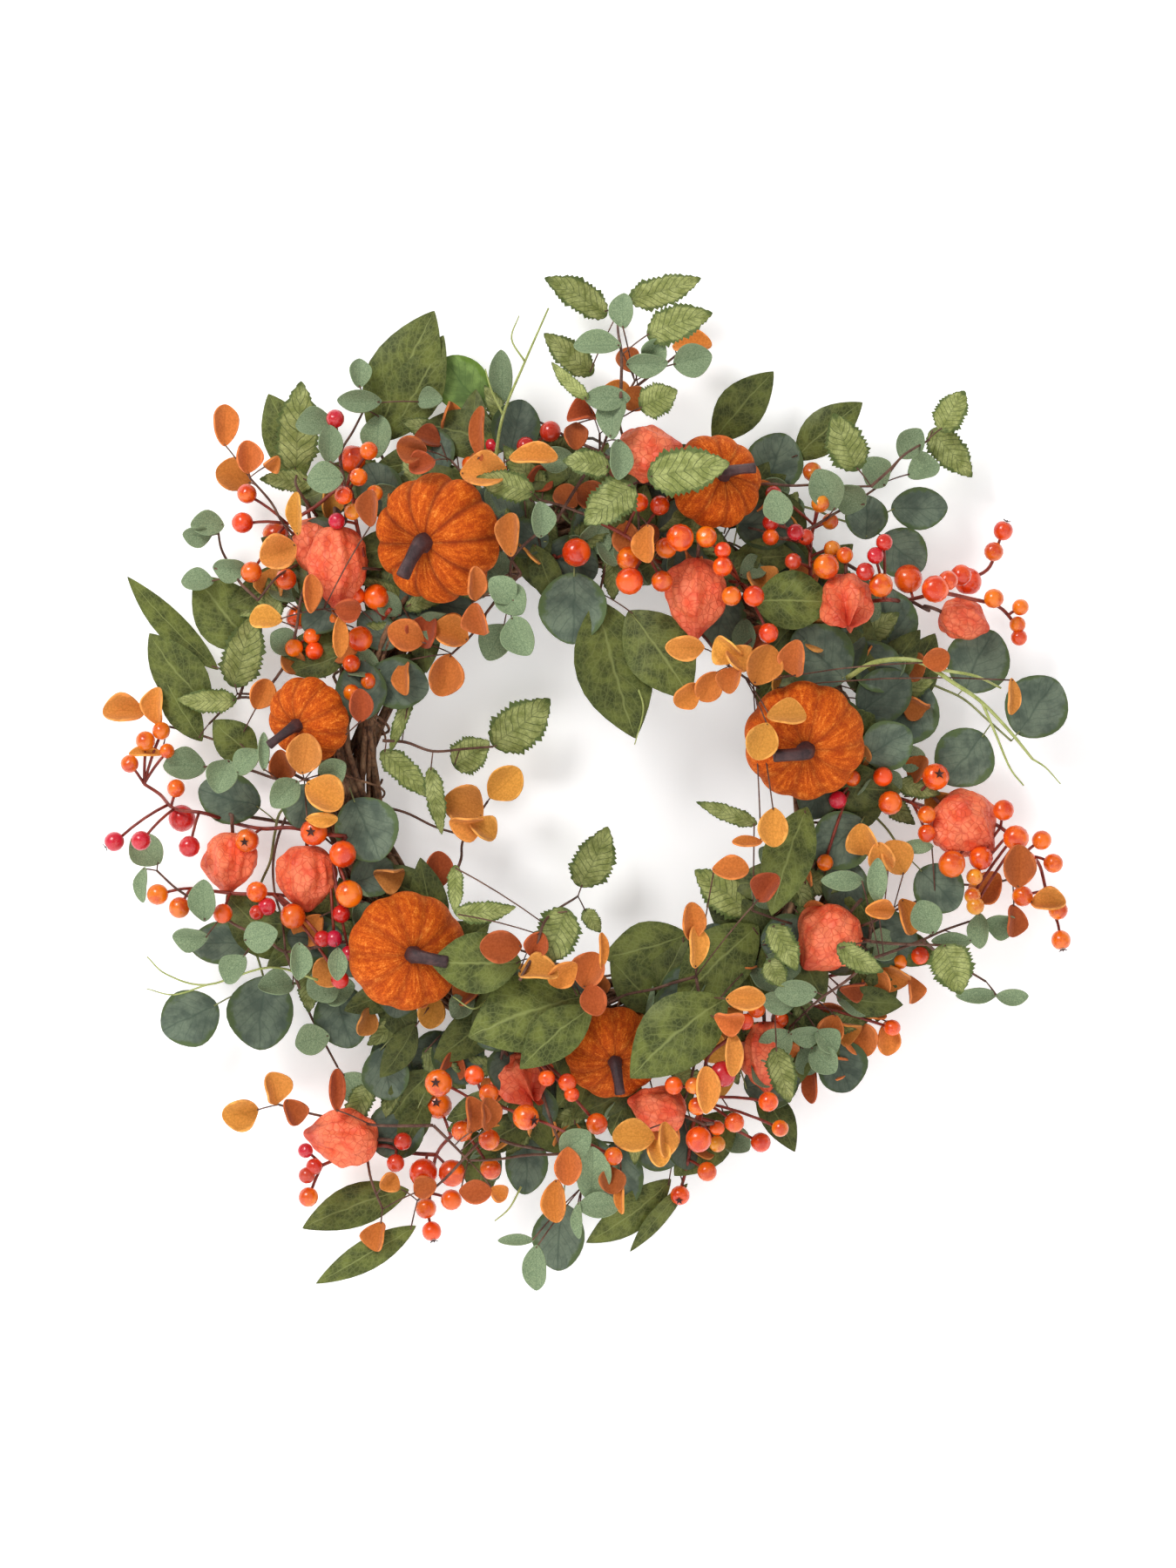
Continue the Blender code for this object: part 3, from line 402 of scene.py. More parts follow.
class Effects:
    """The node groups that several finishes share, each built once."""

    def __init__(self) -> None:
        """Builds every group."""
        self.patches = self._patches()
        self.veins = self._veins()
        self.margin = self._margin()
        self.fibres = self._fibres()

    def patchy(self, bench: Shade, place: Socket, scale: float, cover: float,
               softness: float) -> Socket:
        """Cloudy patches as a mask.

        Args:
            bench: the material's bench.
            place: where each point of the surface is.
            scale: how close the patches lie.
            cover: the noise's level at which a patch starts; more of it leaves fewer patches.
            softness: how softly they end.

        Returns:
            The mask's socket.
        """
        inputs = {"Vector": place, "Scale": scale, "Cover": cover, "Softness": softness}
        return bench.group(self.patches, inputs).outputs["Mask"]

    def woven(self, bench: Shade, place: Socket, scale: float) -> Socket:
        """The height of a fine weave."""
        return bench.group(self.fibres, {"Vector": place, "Scale": scale}).outputs["Height"]

    @staticmethod
    def _patches() -> bpy.types.NodeTree:
        """Soft cloudy patches.

        Returns:
            The group: Mask is 0 to 1.
        """
        inputs = {"Vector": ("Vector", None), "Scale": ("Float", 40.0), "Softness": ("Float", 0.12),
                  "Cover": ("Float", 0.5)}
        bench, given, out = new_group("cloudy_patches", inputs, {"Mask": "Float"})
        cloud = bench.add("TexNoise", {"Vector": given.outputs["Vector"], "Scale": given.outputs["Scale"],
                                       "Detail": 5.0, "Roughness": 0.6})
        low = bench.minus(given.outputs["Cover"], given.outputs["Softness"])
        high = bench.plus(given.outputs["Cover"], given.outputs["Softness"])
        bench.tree.links.new(bench.span(cloud.outputs["Fac"], low, high), out.inputs["Mask"])
        return bench.tree

    @staticmethod
    def _veins() -> bpy.types.NodeTree:
        """A midrib and side veins that slant towards the tip, on a map that runs base to tip along U.

        Returns:
            The group: Rib is the midrib's mask and Side the side veins'.
        """
        inputs = {"UV": ("Vector", None), "Count": ("Float", 7.0), "Slant": ("Float", 0.35),
                  "Width": ("Float", 0.08), "Rib Width": ("Float", 0.03)}
        bench, given, out = new_group("leaf_veins", inputs, {"Rib": "Float", "Side": "Float"})
        parts = bench.add("SeparateXYZ", {0: given.outputs["UV"]})
        aside = bench.off_middle(parts.outputs["Y"])
        slide = bench.times(aside, given.outputs["Slant"])
        row = bench.times(bench.minus(parts.outputs["X"], slide), given.outputs["Count"])
        near = bench.off_middle(bench.math("FRACT", row))
        side = bench.span(near, 0.0, given.outputs["Width"], 1.0, 0.0)
        rib = bench.span(aside, 0.0, given.outputs["Rib Width"], 1.0, 0.0)
        fade = bench.span(aside, 0.5, 0.34)
        shown = bench.times(side, fade)
        bench.tree.links.new(rib, out.inputs["Rib"])
        bench.tree.links.new(shown, out.inputs["Side"])
        return bench.tree

    @staticmethod
    def _margin() -> bpy.types.NodeTree:
        """The band along a leaf's edge, with an uneven inner line.

        Returns:
            The group: Mask is 1 at the edge.
        """
        inputs = {"UV": ("Vector", None), "Start": ("Float", 0.25), "Wander": ("Float", 0.1)}
        bench, given, out = new_group("leaf_margin", inputs, {"Mask": "Float"})
        parts = bench.add("SeparateXYZ", {0: given.outputs["UV"]})
        aside = bench.off_middle(parts.outputs["Y"])
        along = bench.off_middle(parts.outputs["X"])
        reach = bench.math("MAXIMUM", aside, bench.times(along, 0.86))
        place = bench.place()
        cloud = bench.add("TexNoise", {"Vector": place, "Scale": 140.0, "Detail": 4.0})
        wander = bench.times(bench.minus(cloud.outputs["Fac"], 0.5), given.outputs["Wander"])
        line = bench.plus(given.outputs["Start"], wander)
        end = bench.plus(line, 0.09)
        bench.tree.links.new(bench.span(reach, line, end), out.inputs["Mask"])
        return bench.tree

    @staticmethod
    def _fibres() -> bpy.types.NodeTree:
        """The fine weave or nap of die-cut cloth, as a height.

        Returns:
            The group: Height is about 0 to 1.
        """
        inputs = {"Vector": ("Vector", None), "Scale": ("Float", 900.0)}
        bench, given, out = new_group("cloth_fibres", inputs, {"Height": "Float"})
        threads = bench.add("TexNoise", {"Vector": given.outputs["Vector"], "Scale": given.outputs["Scale"],
                                         "Detail": 2.0, "Roughness": 0.7})
        coarse = bench.times(given.outputs["Scale"], 0.23)
        clumps = bench.add("TexNoise", {"Vector": given.outputs["Vector"], "Scale": coarse, "Detail": 2.0})
        height = bench.plus(threads.outputs["Fac"], clumps.outputs["Fac"])
        bench.tree.links.new(bench.times(height, 0.5), out.inputs["Height"])
        return bench.tree


def new_material(name: str) -> tuple[Material, Shade, Node]:
    """An empty node material.

    Args:
        name: the material's name.

    Returns:
        The material, its bench and its Principled BSDF.
    """
    material = bpy.data.materials.new(name)
    material.use_nodes = True
    bench = Shade(material.node_tree)
    return material, bench, material.node_tree.nodes["Principled BSDF"]


def set_inputs(shader: Node, **values: Value) -> None:
    """Sets a shader's inputs, each named with underscores for the spaces in its name."""
    for name, value in values.items():
        shader.inputs[name.replace("_", " ")].default_value = value


def wire(bench: Shade, shader: Node, colour: Socket, roughness: Value, height: Optional[Socket] = None,
         bump: float = 0.2, reach: float = 0.0005) -> None:
    """Connects a finish to its shader.

    Args:
        bench: the material's bench.
        shader: the Principled BSDF.
        colour: colour socket.
        roughness: number or socket.
        height: height socket for the bump.
        bump: the bump's strength.
        reach: the bump's distance, metres.
    """
    bench.tree.links.new(colour, shader.inputs["Base Color"])
    bench.feed(shader.inputs["Roughness"], roughness)
    if height is not None:
        relief = bench.add("Bump", {"Height": height, "Strength": bump, "Distance": reach})
        bench.tree.links.new(relief.outputs["Normal"], shader.inputs["Normal"])


# ---------------------------------------------------------------------------------------------- finishes


@dataclass(frozen=True)
class LeafFinish:
    """Printed or dyed leaf cloth: veins, a margin of another colour, cloudy mottle and a fine weave."""

    name: str
    dark: Colour
    light: Colour
    margin: Colour
    vein: Colour
    margin_start: float = 0.6
    margin_share: float = 0.0
    vein_count: float = 8.0
    vein_slant: float = 0.7
    vein_share: float = 0.5
    rib_share: float = 0.6
    mottle_scale: float = 110.0
    mottle_cover: float = 0.5
    roughness: float = 0.6
    sheen: float = 0.1
    weave: float = 0.25
    net_share: float = 0.1

    def build(self, effects: Effects) -> Material:
        """Makes the material.

        Args:
            effects: the shared node groups.

        Returns:
            The material.
        """
        material, bench, shader = new_material(self.name)
        place = bench.place()
        chart = bench.chart()
        own = bench.dyed()
        patches = effects.patchy(bench, place, self.mottle_scale, self.mottle_cover, 0.16)
        ground = bench.mix(patches, self.dark, self.light)
        sway = bench.add("TexNoise", {"Vector": place, "Scale": 85.0, "Detail": 3.0}).outputs["Color"]
        bent = bench.add("VectorMath", {0: sway, 1: (0.1, 0.12, 0.0), 2: chart}, operation="MULTIPLY_ADD")
        centred = bench.add("Mapping", {"Vector": bent.outputs["Vector"], "Location": (-0.05, -0.06, 0.0)})
        margin = bench.group(effects.margin, {"UV": chart, "Start": self.margin_start, "Wander": 0.34})
        edged = bench.mix(bench.times(margin.outputs["Mask"], self.margin_share), ground, self.margin)
        veins = bench.group(effects.veins, {"UV": centred.outputs["Vector"], "Count": self.vein_count,
                                            "Slant": self.vein_slant, "Width": 0.11, "Rib Width": 0.035})
        lines = bench.math("MAXIMUM", bench.times(veins.outputs["Side"], self.vein_share),
                           bench.times(veins.outputs["Rib"], self.rib_share))
        cells = bench.add("TexVoronoi", {"Vector": place, "Scale": 300.0}, feature="DISTANCE_TO_EDGE")
        net = bench.times(bench.span(cells.outputs["Distance"], 0.14, 0.0), self.net_share)
        drawn = bench.mix(bench.math("MAXIMUM", lines, net), edged, self.vein)
        tinted = bench.mix(1.0, drawn, own, "MULTIPLY")
        fine = effects.woven(bench, place, 1500.0)
        roughness = bench.span(patches, 0.0, 1.0, self.roughness + 0.06, self.roughness - 0.05)
        height = bench.minus(bench.times(fine, self.weave), lines)
        wire(bench, shader, tinted, roughness, height, 0.5, 0.0004)
        set_inputs(shader, Specular_IOR_Level=0.25, Sheen_Weight=self.sheen, Sheen_Roughness=0.6)
        return material


@dataclass(frozen=True)
class VelvetFinish:
    """Crushed velvet: painted sheen and shade in streaks and patches of the pile, painted shade in its
    grooves and crown.
    """

    name: str = "crushed_velvet"
    # The darkest colour is painted shade and the lightest a painted highlight of the crushed pile; groove
    # is painted shade in the grooves and round the crown.
    deep: Colour = dye(178, 66, 6)
    body: Colour = dye(216, 98, 12)
    painted_highlight: Colour = dye(248, 146, 52)
    groove: Colour = dye(110, 32, 4)

    def build(self, effects: Effects) -> Material:
        """Makes the material.

        Args:
            effects: the shared node groups.

        Returns:
            The material.
        """
        material, bench, shader = new_material(self.name)
        place = bench.place()
        chart = bench.chart()
        ribs = bench.dyed()
        streak_place = bench.add("Mapping", {"Vector": chart, "Scale": (70.0, 9.0, 1.0)}).outputs["Vector"]
        streaks = bench.add("TexNoise", {"Vector": streak_place, "Scale": 1.0, "Detail": 6.0,
                                         "Roughness": 0.65, "Distortion": 0.5})
        crush = effects.patchy(bench, place, 190.0, 0.52, 0.12)
        brush = bench.span(streaks.outputs["Fac"], 0.36, 0.68)
        pile = effects.patchy(bench, place, 900.0, 0.54, 0.16)
        coarse = bench.plus(bench.times(brush, 0.42), bench.times(crush, 0.2))
        nap_and_painted_sheen = bench.plus(coarse, bench.times(pile, 0.38))
        # Painted shade and painted highlight: darker where the streaks and patches are low, lighter where
        # they are high.
        dull = bench.mix(bench.span(nap_and_painted_sheen, 0.1, 0.55), self.deep, self.body)
        with_painted_highlight = bench.mix(bench.span(nap_and_painted_sheen, 0.5, 0.85), dull, self.painted_highlight)
        # Painted shade: the dye attribute holds how deep a point lies in a groove or in the crown's hollow.
        sunk = bench.add("SeparateColor", {0: ribs}).outputs["Red"]
        coloured = bench.mix(bench.times(sunk, 0.75), with_painted_highlight, self.groove)
        fine = effects.woven(bench, place, 2200.0)
        height = bench.plus(bench.times(nap_and_painted_sheen, 0.6), bench.times(fine, 0.4))
        wire(bench, shader, coloured, bench.span(nap_and_painted_sheen, 0.0, 1.0, 0.85, 0.6), height, 0.55, 0.0009)
        set_inputs(shader, Specular_IOR_Level=0.2, Sheen_Weight=0.3, Sheen_Roughness=0.4,
                   Sheen_Tint=dye(255, 160, 80))
        return material


@dataclass(frozen=True)
class PaperFinish:
    """Papery lantern husk: a net of raised veins, painted shade at the tip and on ten ribs, painted
    highlights in cloudy patches and thin, glowing panels.
    """

    name: str = "lantern_paper"
    # The light colour is a painted highlight and the shade colour painted shade.
    body: Colour = dye(236, 84, 42)
    light: Colour = dye(250, 130, 86)
    shade: Colour = dye(192, 44, 24)
    vein: Colour = dye(206, 60, 32)

    def build(self, effects: Effects) -> Material:
        """Makes the material.

        Args:
            effects: the shared node groups.

        Returns:
            The material.
        """
        material, bench, shader = new_material(self.name)
        place = bench.place()
        chart = bench.chart()
        own = bench.dyed()
        cells = bench.add("TexVoronoi", {"Vector": place, "Scale": 210.0}, feature="DISTANCE_TO_EDGE")
        net = bench.span(cells.outputs["Distance"], 0.1, 0.0)
        parts = bench.add("SeparateXYZ", {0: chart})
        around = bench.math("FRACT", bench.times(parts.outputs["X"], 10.0))
        rib = bench.span(bench.off_middle(around), 0.36, 0.5)
        # Painted highlight: lighter cloudy patches where the crumpled paper would catch the light.
        crease = effects.patchy(bench, place, 80.0, 0.46, 0.14)
        ground = bench.mix(crease, self.body, self.light)
        # Painted shade, darker towards the tip.
        with_painted_tip_shade = bench.mix(bench.span(parts.outputs["Y"], 0.62, 1.0, 0.0, 0.7), ground, self.shade)
        netted = bench.mix(bench.times(net, 0.45), with_painted_tip_shade, self.vein)
        # Painted shade along ten rib lines.
        ribbed = bench.mix(bench.times(rib, 0.3), netted, self.shade)
        tinted = bench.mix(1.0, ribbed, own, "MULTIPLY")
        fine = effects.woven(bench, place, 700.0)
        height = bench.plus(bench.times(net, 0.8), bench.times(fine, 0.5))
        wire(bench, shader, tinted, bench.span(net, 0.0, 1.0, 0.5, 0.62), height, 0.6, 0.0006)
        set_inputs(shader, Subsurface_Weight=0.15, Subsurface_Radius=(0.004, 0.0015, 0.001))
        return material


@dataclass(frozen=True)
class BerryFinish:
    """Painted foam berry: orange with a red blush that fades over it, and a satin glaze."""

    name: str = "berry_glaze"
    blush: Colour = dye(196, 22, 10)

    def build(self, effects: Effects) -> Material:
        """Makes the material.

        Args:
            effects: the shared node groups.

        Returns:
            The material.
        """
        material, bench, shader = new_material(self.name)
        place = bench.place()
        own = bench.dyed()
        blush = effects.patchy(bench, place, 62.0, 0.52, 0.1)
        speck = effects.patchy(bench, place, 900.0, 0.66, 0.05)
        washed = bench.mix(bench.times(blush, 0.7), own, self.blush)
        dusted = bench.mix(bench.times(speck, 0.3), washed, dye(250, 190, 120))
        roughness = bench.span(blush, 0.0, 1.0, 0.3, 0.24)
        wire(bench, shader, dusted, roughness, speck, 0.12, 0.0002)
        set_inputs(shader, Coat_Weight=0.45, Coat_Roughness=0.1)
        return material


@dataclass(frozen=True)
class BarkFinish:
    """Bark or paper-wrapped wire: long grain in two browns with dark gaps, and smoother patches with a
    painted highlight.
    """

    name: str
    dark: Colour
    body: Colour
    # The light colour is a painted highlight.
    light: Colour
    grain_scale: float = 260.0
    roughness: float = 0.75
    bump: float = 0.6

    def build(self, effects: Effects) -> Material:
        """Makes the material.

        Args:
            effects: the shared node groups.

        Returns:
            The material.
        """
        material, bench, shader = new_material(self.name)
        place = bench.place()
        own = bench.dyed()
        grain = bench.add("TexNoise", {"Vector": place, "Scale": self.grain_scale, "Detail": 8.0,
                                       "Roughness": 0.72, "Distortion": 1.2})
        # The cloudy patches are smoother, and the light colour laid over them is a painted highlight.
        worn = effects.patchy(bench, place, 90.0, 0.52, 0.14)
        ground = bench.mix(bench.span(grain.outputs["Fac"], 0.36, 0.6), self.dark, self.body)
        # Painted highlight: the light colour over the cloudy patches.
        with_painted_highlights = bench.mix(bench.times(worn, 0.6), ground, self.light)
        tinted = bench.mix(1.0, with_painted_highlights, own, "MULTIPLY")
        roughness = bench.span(worn, 0.0, 1.0, self.roughness + 0.1, self.roughness - 0.1)
        wire(bench, shader, tinted, roughness, grain.outputs["Fac"], self.bump, 0.0008)
        return material


@dataclass(frozen=True)
class WireFinish:
    """Drawn steel wire, a little dulled and scratched."""

    name: str = "dulled_wire"
    clean: Colour = dye(120, 112, 100)
    dull: Colour = dye(70, 58, 48)

    def build(self, effects: Effects) -> Material:
        """Makes the material.

        Args:
            effects: the shared node groups.

        Returns:
            The material.
        """
        material, bench, shader = new_material(self.name)
        place = bench.place()
        worn = effects.patchy(bench, place, 180.0, 0.5, 0.15)
        scratch = bench.add("TexNoise", {"Vector": place, "Scale": 1400.0, "Detail": 3.0}).outputs["Fac"]
        coloured = bench.mix(worn, self.clean, self.dull)
        wire(bench, shader, coloured, bench.span(worn, 0.0, 1.0, 0.32, 0.6), scratch, 0.2, 0.0002)
        bench.tree.links.new(bench.span(worn, 0.0, 1.0, 1.0, 0.5), shader.inputs["Metallic"])
        return material


WHITE: Colour = (1.0, 1.0, 1.0, 1.0)

LEMON_CLOTH = LeafFinish(
    "lemon_leaf_cloth", dye(58, 66, 26), dye(104, 112, 50), dye(74, 86, 38), dye(136, 144, 82),
    margin_share=0.35, margin_start=0.36, vein_count=9.0, vein_share=0.34, rib_share=0.75,
    mottle_scale=95.0, sheen=0.0, net_share=0.26, roughness=0.5)
EUCALYPTUS_CLOTH = LeafFinish(
    "eucalyptus_leaf_cloth", dye(78, 91, 78), dye(110, 124, 104), dye(80, 98, 52), dye(62, 78, 66),
    margin_share=0.85, margin_start=0.37, vein_count=6.0, vein_slant=0.9, vein_share=0.4,
    mottle_scale=80.0, sheen=0.0, net_share=0.16)
SAGE_CLOTH = LeafFinish(
    "sage_leaf_cloth", dye(104, 124, 92), dye(146, 162, 124), dye(132, 152, 112), dye(100, 120, 90),
    margin_share=0.7, margin_start=0.43, vein_count=5.0, vein_share=0.25, rib_share=0.5,
    mottle_scale=1300.0, roughness=0.75, sheen=0.05, net_share=0.0)
FELT_CLOTH = LeafFinish(
    "felt_leaf_cloth", dye(214, 208, 200), dye(238, 236, 232), (1.3, 1.4, 1.8, 1.0), dye(190, 170, 150),
    margin_share=0.7, margin_start=0.44, vein_count=4.0, vein_share=0.04, rib_share=0.3,
    mottle_scale=700.0, roughness=0.9, sheen=0.08, weave=0.6, net_share=0.0)
MINT_CLOTH = LeafFinish(
    "mint_leaf_cloth", dye(126, 134, 70), dye(168, 174, 108), dye(66, 86, 38), dye(52, 66, 30),
    margin_share=0.8, margin_start=0.33, vein_count=10.0, vein_slant=0.5, vein_share=0.85, rib_share=0.4,
    mottle_scale=120.0, sheen=0.0, net_share=0.3)
VINE_BARK = BarkFinish(
    "vine_bark", dye(44, 28, 20), dye(112, 78, 54), dye(158, 124, 92), 260.0, 0.8, 0.8)
TWIG_BARK = BarkFinish(
    "twig_bark", dye(58, 34, 28), dye(96, 62, 48), dye(126, 90, 70), 420.0, 0.7, 0.4)
BERRY_TWIG = BarkFinish(
    "berry_twig", dye(84, 20, 14), dye(128, 40, 24), dye(166, 66, 40), 420.0, 0.45, 0.3)
PALE_TWIG = BarkFinish(
    "pale_twig", dye(92, 100, 56), dye(128, 134, 80), dye(156, 160, 104), 420.0, 0.6, 0.3)
TENDRIL_SKIN = BarkFinish(
    "pale_tendril", dye(128, 138, 66), dye(160, 170, 92), dye(188, 194, 126), 420.0, 0.5, 0.2)
PUMPKIN_BARK = BarkFinish(
    "pumpkin_stem_bark", dye(30, 14, 17), dye(60, 33, 36), dye(92, 58, 56), 330.0, 0.5, 0.7)


class Palette:
    """Every material of the wreath, built once."""

    def __init__(self) -> None:
        """Builds the node groups and the materials."""
        effects = Effects()
        finishes = (LEMON_CLOTH, EUCALYPTUS_CLOTH, SAGE_CLOTH, FELT_CLOTH, MINT_CLOTH, VINE_BARK, TWIG_BARK,
                    BERRY_TWIG, PALE_TWIG, TENDRIL_SKIN, PUMPKIN_BARK, VelvetFinish(), PaperFinish(),
                    BerryFinish(), WireFinish())
        self.materials = {finish.name: finish.build(effects) for finish in finishes}

    def __getitem__(self, name: str) -> Material:
        """The material of that name."""
        return self.materials[name]


# ---------------------------------------------------------------------------------------------- leaf stock


@dataclass(frozen=True)
class Species:
    """One kind of cloth leaf: its outline, how it is formed, and its colours.

    The outline's half width is sin(pi * u ** skew) ** fullness, with u from base to tip.
    """

    finish: str
    slot: str
    skew: float
    fullness: float
    teeth: int = 0
    tooth: float = 0.0
    cup: float = 0.12
    fold: float = 0.1
    arch: float = 0.1
    wave: float = 0.04
    pitch: float = 8.0
    roll: float = 10.0
    thickness: float = 0.7
    lighter: float = 0.12
    twig: str = "twig_bark"


class Kind(Enum):
    """The kinds of leaf in the wreath."""

    LEMON = Species("lemon_leaf_cloth", "lemon_leaf", 0.92, 0.85, cup=-0.1, fold=0.16, arch=0.12, wave=0.05)
    EUCALYPTUS = Species("eucalyptus_leaf_cloth", "eucalyptus_leaf", 0.98, 0.55, cup=0.12, fold=0.05,
                         arch=0.08, wave=0.03, twig="pale_twig")
    SAGE = Species("sage_leaf_cloth", "sage_leaf", 1.05, 0.62, cup=0.26, fold=0.12, pitch=18.0, roll=22.0)
    FELT = Species("felt_leaf_cloth", "felt_leaf", 1.2, 0.52, cup=0.42, fold=0.1, pitch=22.0, roll=30.0,
                   lighter=0.14, thickness=1.3)
    MINT = Species("mint_leaf_cloth", "mint_leaf", 0.74, 0.78, teeth=16, tooth=0.16, cup=-0.08, fold=0.24,
                   arch=0.14, wave=0.07, pitch=10.0, roll=12.0)


# The letter of a leaf that lies in front of everything
IN_FRONT = "F"

# The dyes of the felt leaves, of one lime leaf and of one that lies in front, and of the berries, by the
# letter in the layouts
LEAF_DYES = {"L": (1.75, 2.05, 0.75, 1.0), IN_FRONT: (1.15, 1.2, 1.2, 1.0),
             "M": dye(236, 160, 70), "O": dye(222, 128, 56), "D": dye(186, 92, 40)}
BERRY_DYES = {"O": dye(246, 104, 4), "R": dye(204, 24, 28), "Y": dye(240, 146, 34)}
CALYX_DYE = dye(150, 96, 80)

# The cut edge of a berry's crown, where its points reach 1 from its middle
CALYX_THICKNESS = 0.14

# Where two faces of a leaf meet at more than this, degrees, the edge between them stays sharp
LEAF_CREASE = 50.0


@dataclass(frozen=True)
class Spray:
    """A pick of leaves. A leaf is (x, z, heading in degrees, length, width) and sometimes a dye's letter.

    The last stems, as many as links says, tie the others together behind the leaves.
    """

    name: str
    kind: Kind
    stems: list
    leaves: list
    links: int = 0


@dataclass(frozen=True)
class BerryPick:
    """A pick of berries: each (x, z, radius, letters), a dye's letter, then C for a crown, S for a star."""

    name: str
    stems: list
    berries: list
    links: int = 0


@dataclass(frozen=True)
class Pumpkin:
    """A velvet pumpkin: its crown shows (lean_x, lean_z) off its middle, its stem points to a heading."""

    name: str
    x: float
    z: float
    radius: float
    lean_x: float
    lean_z: float
    stem_heading: float


@dataclass(frozen=True)
class LanternPick:
    """A pick of lantern pods. A pod is (x, z, length, width, heading of its tip) and F where it flares."""

    name: str
    pods: list
    shade: float = 1.0


BODIES = {
    "mint_top": "top_mint",
    "mint_inner_left": "opening_left_mint",
    "mint_inner_bottom": "opening_lower_mint",
    "hanging_loop": "hanging_loop",
}

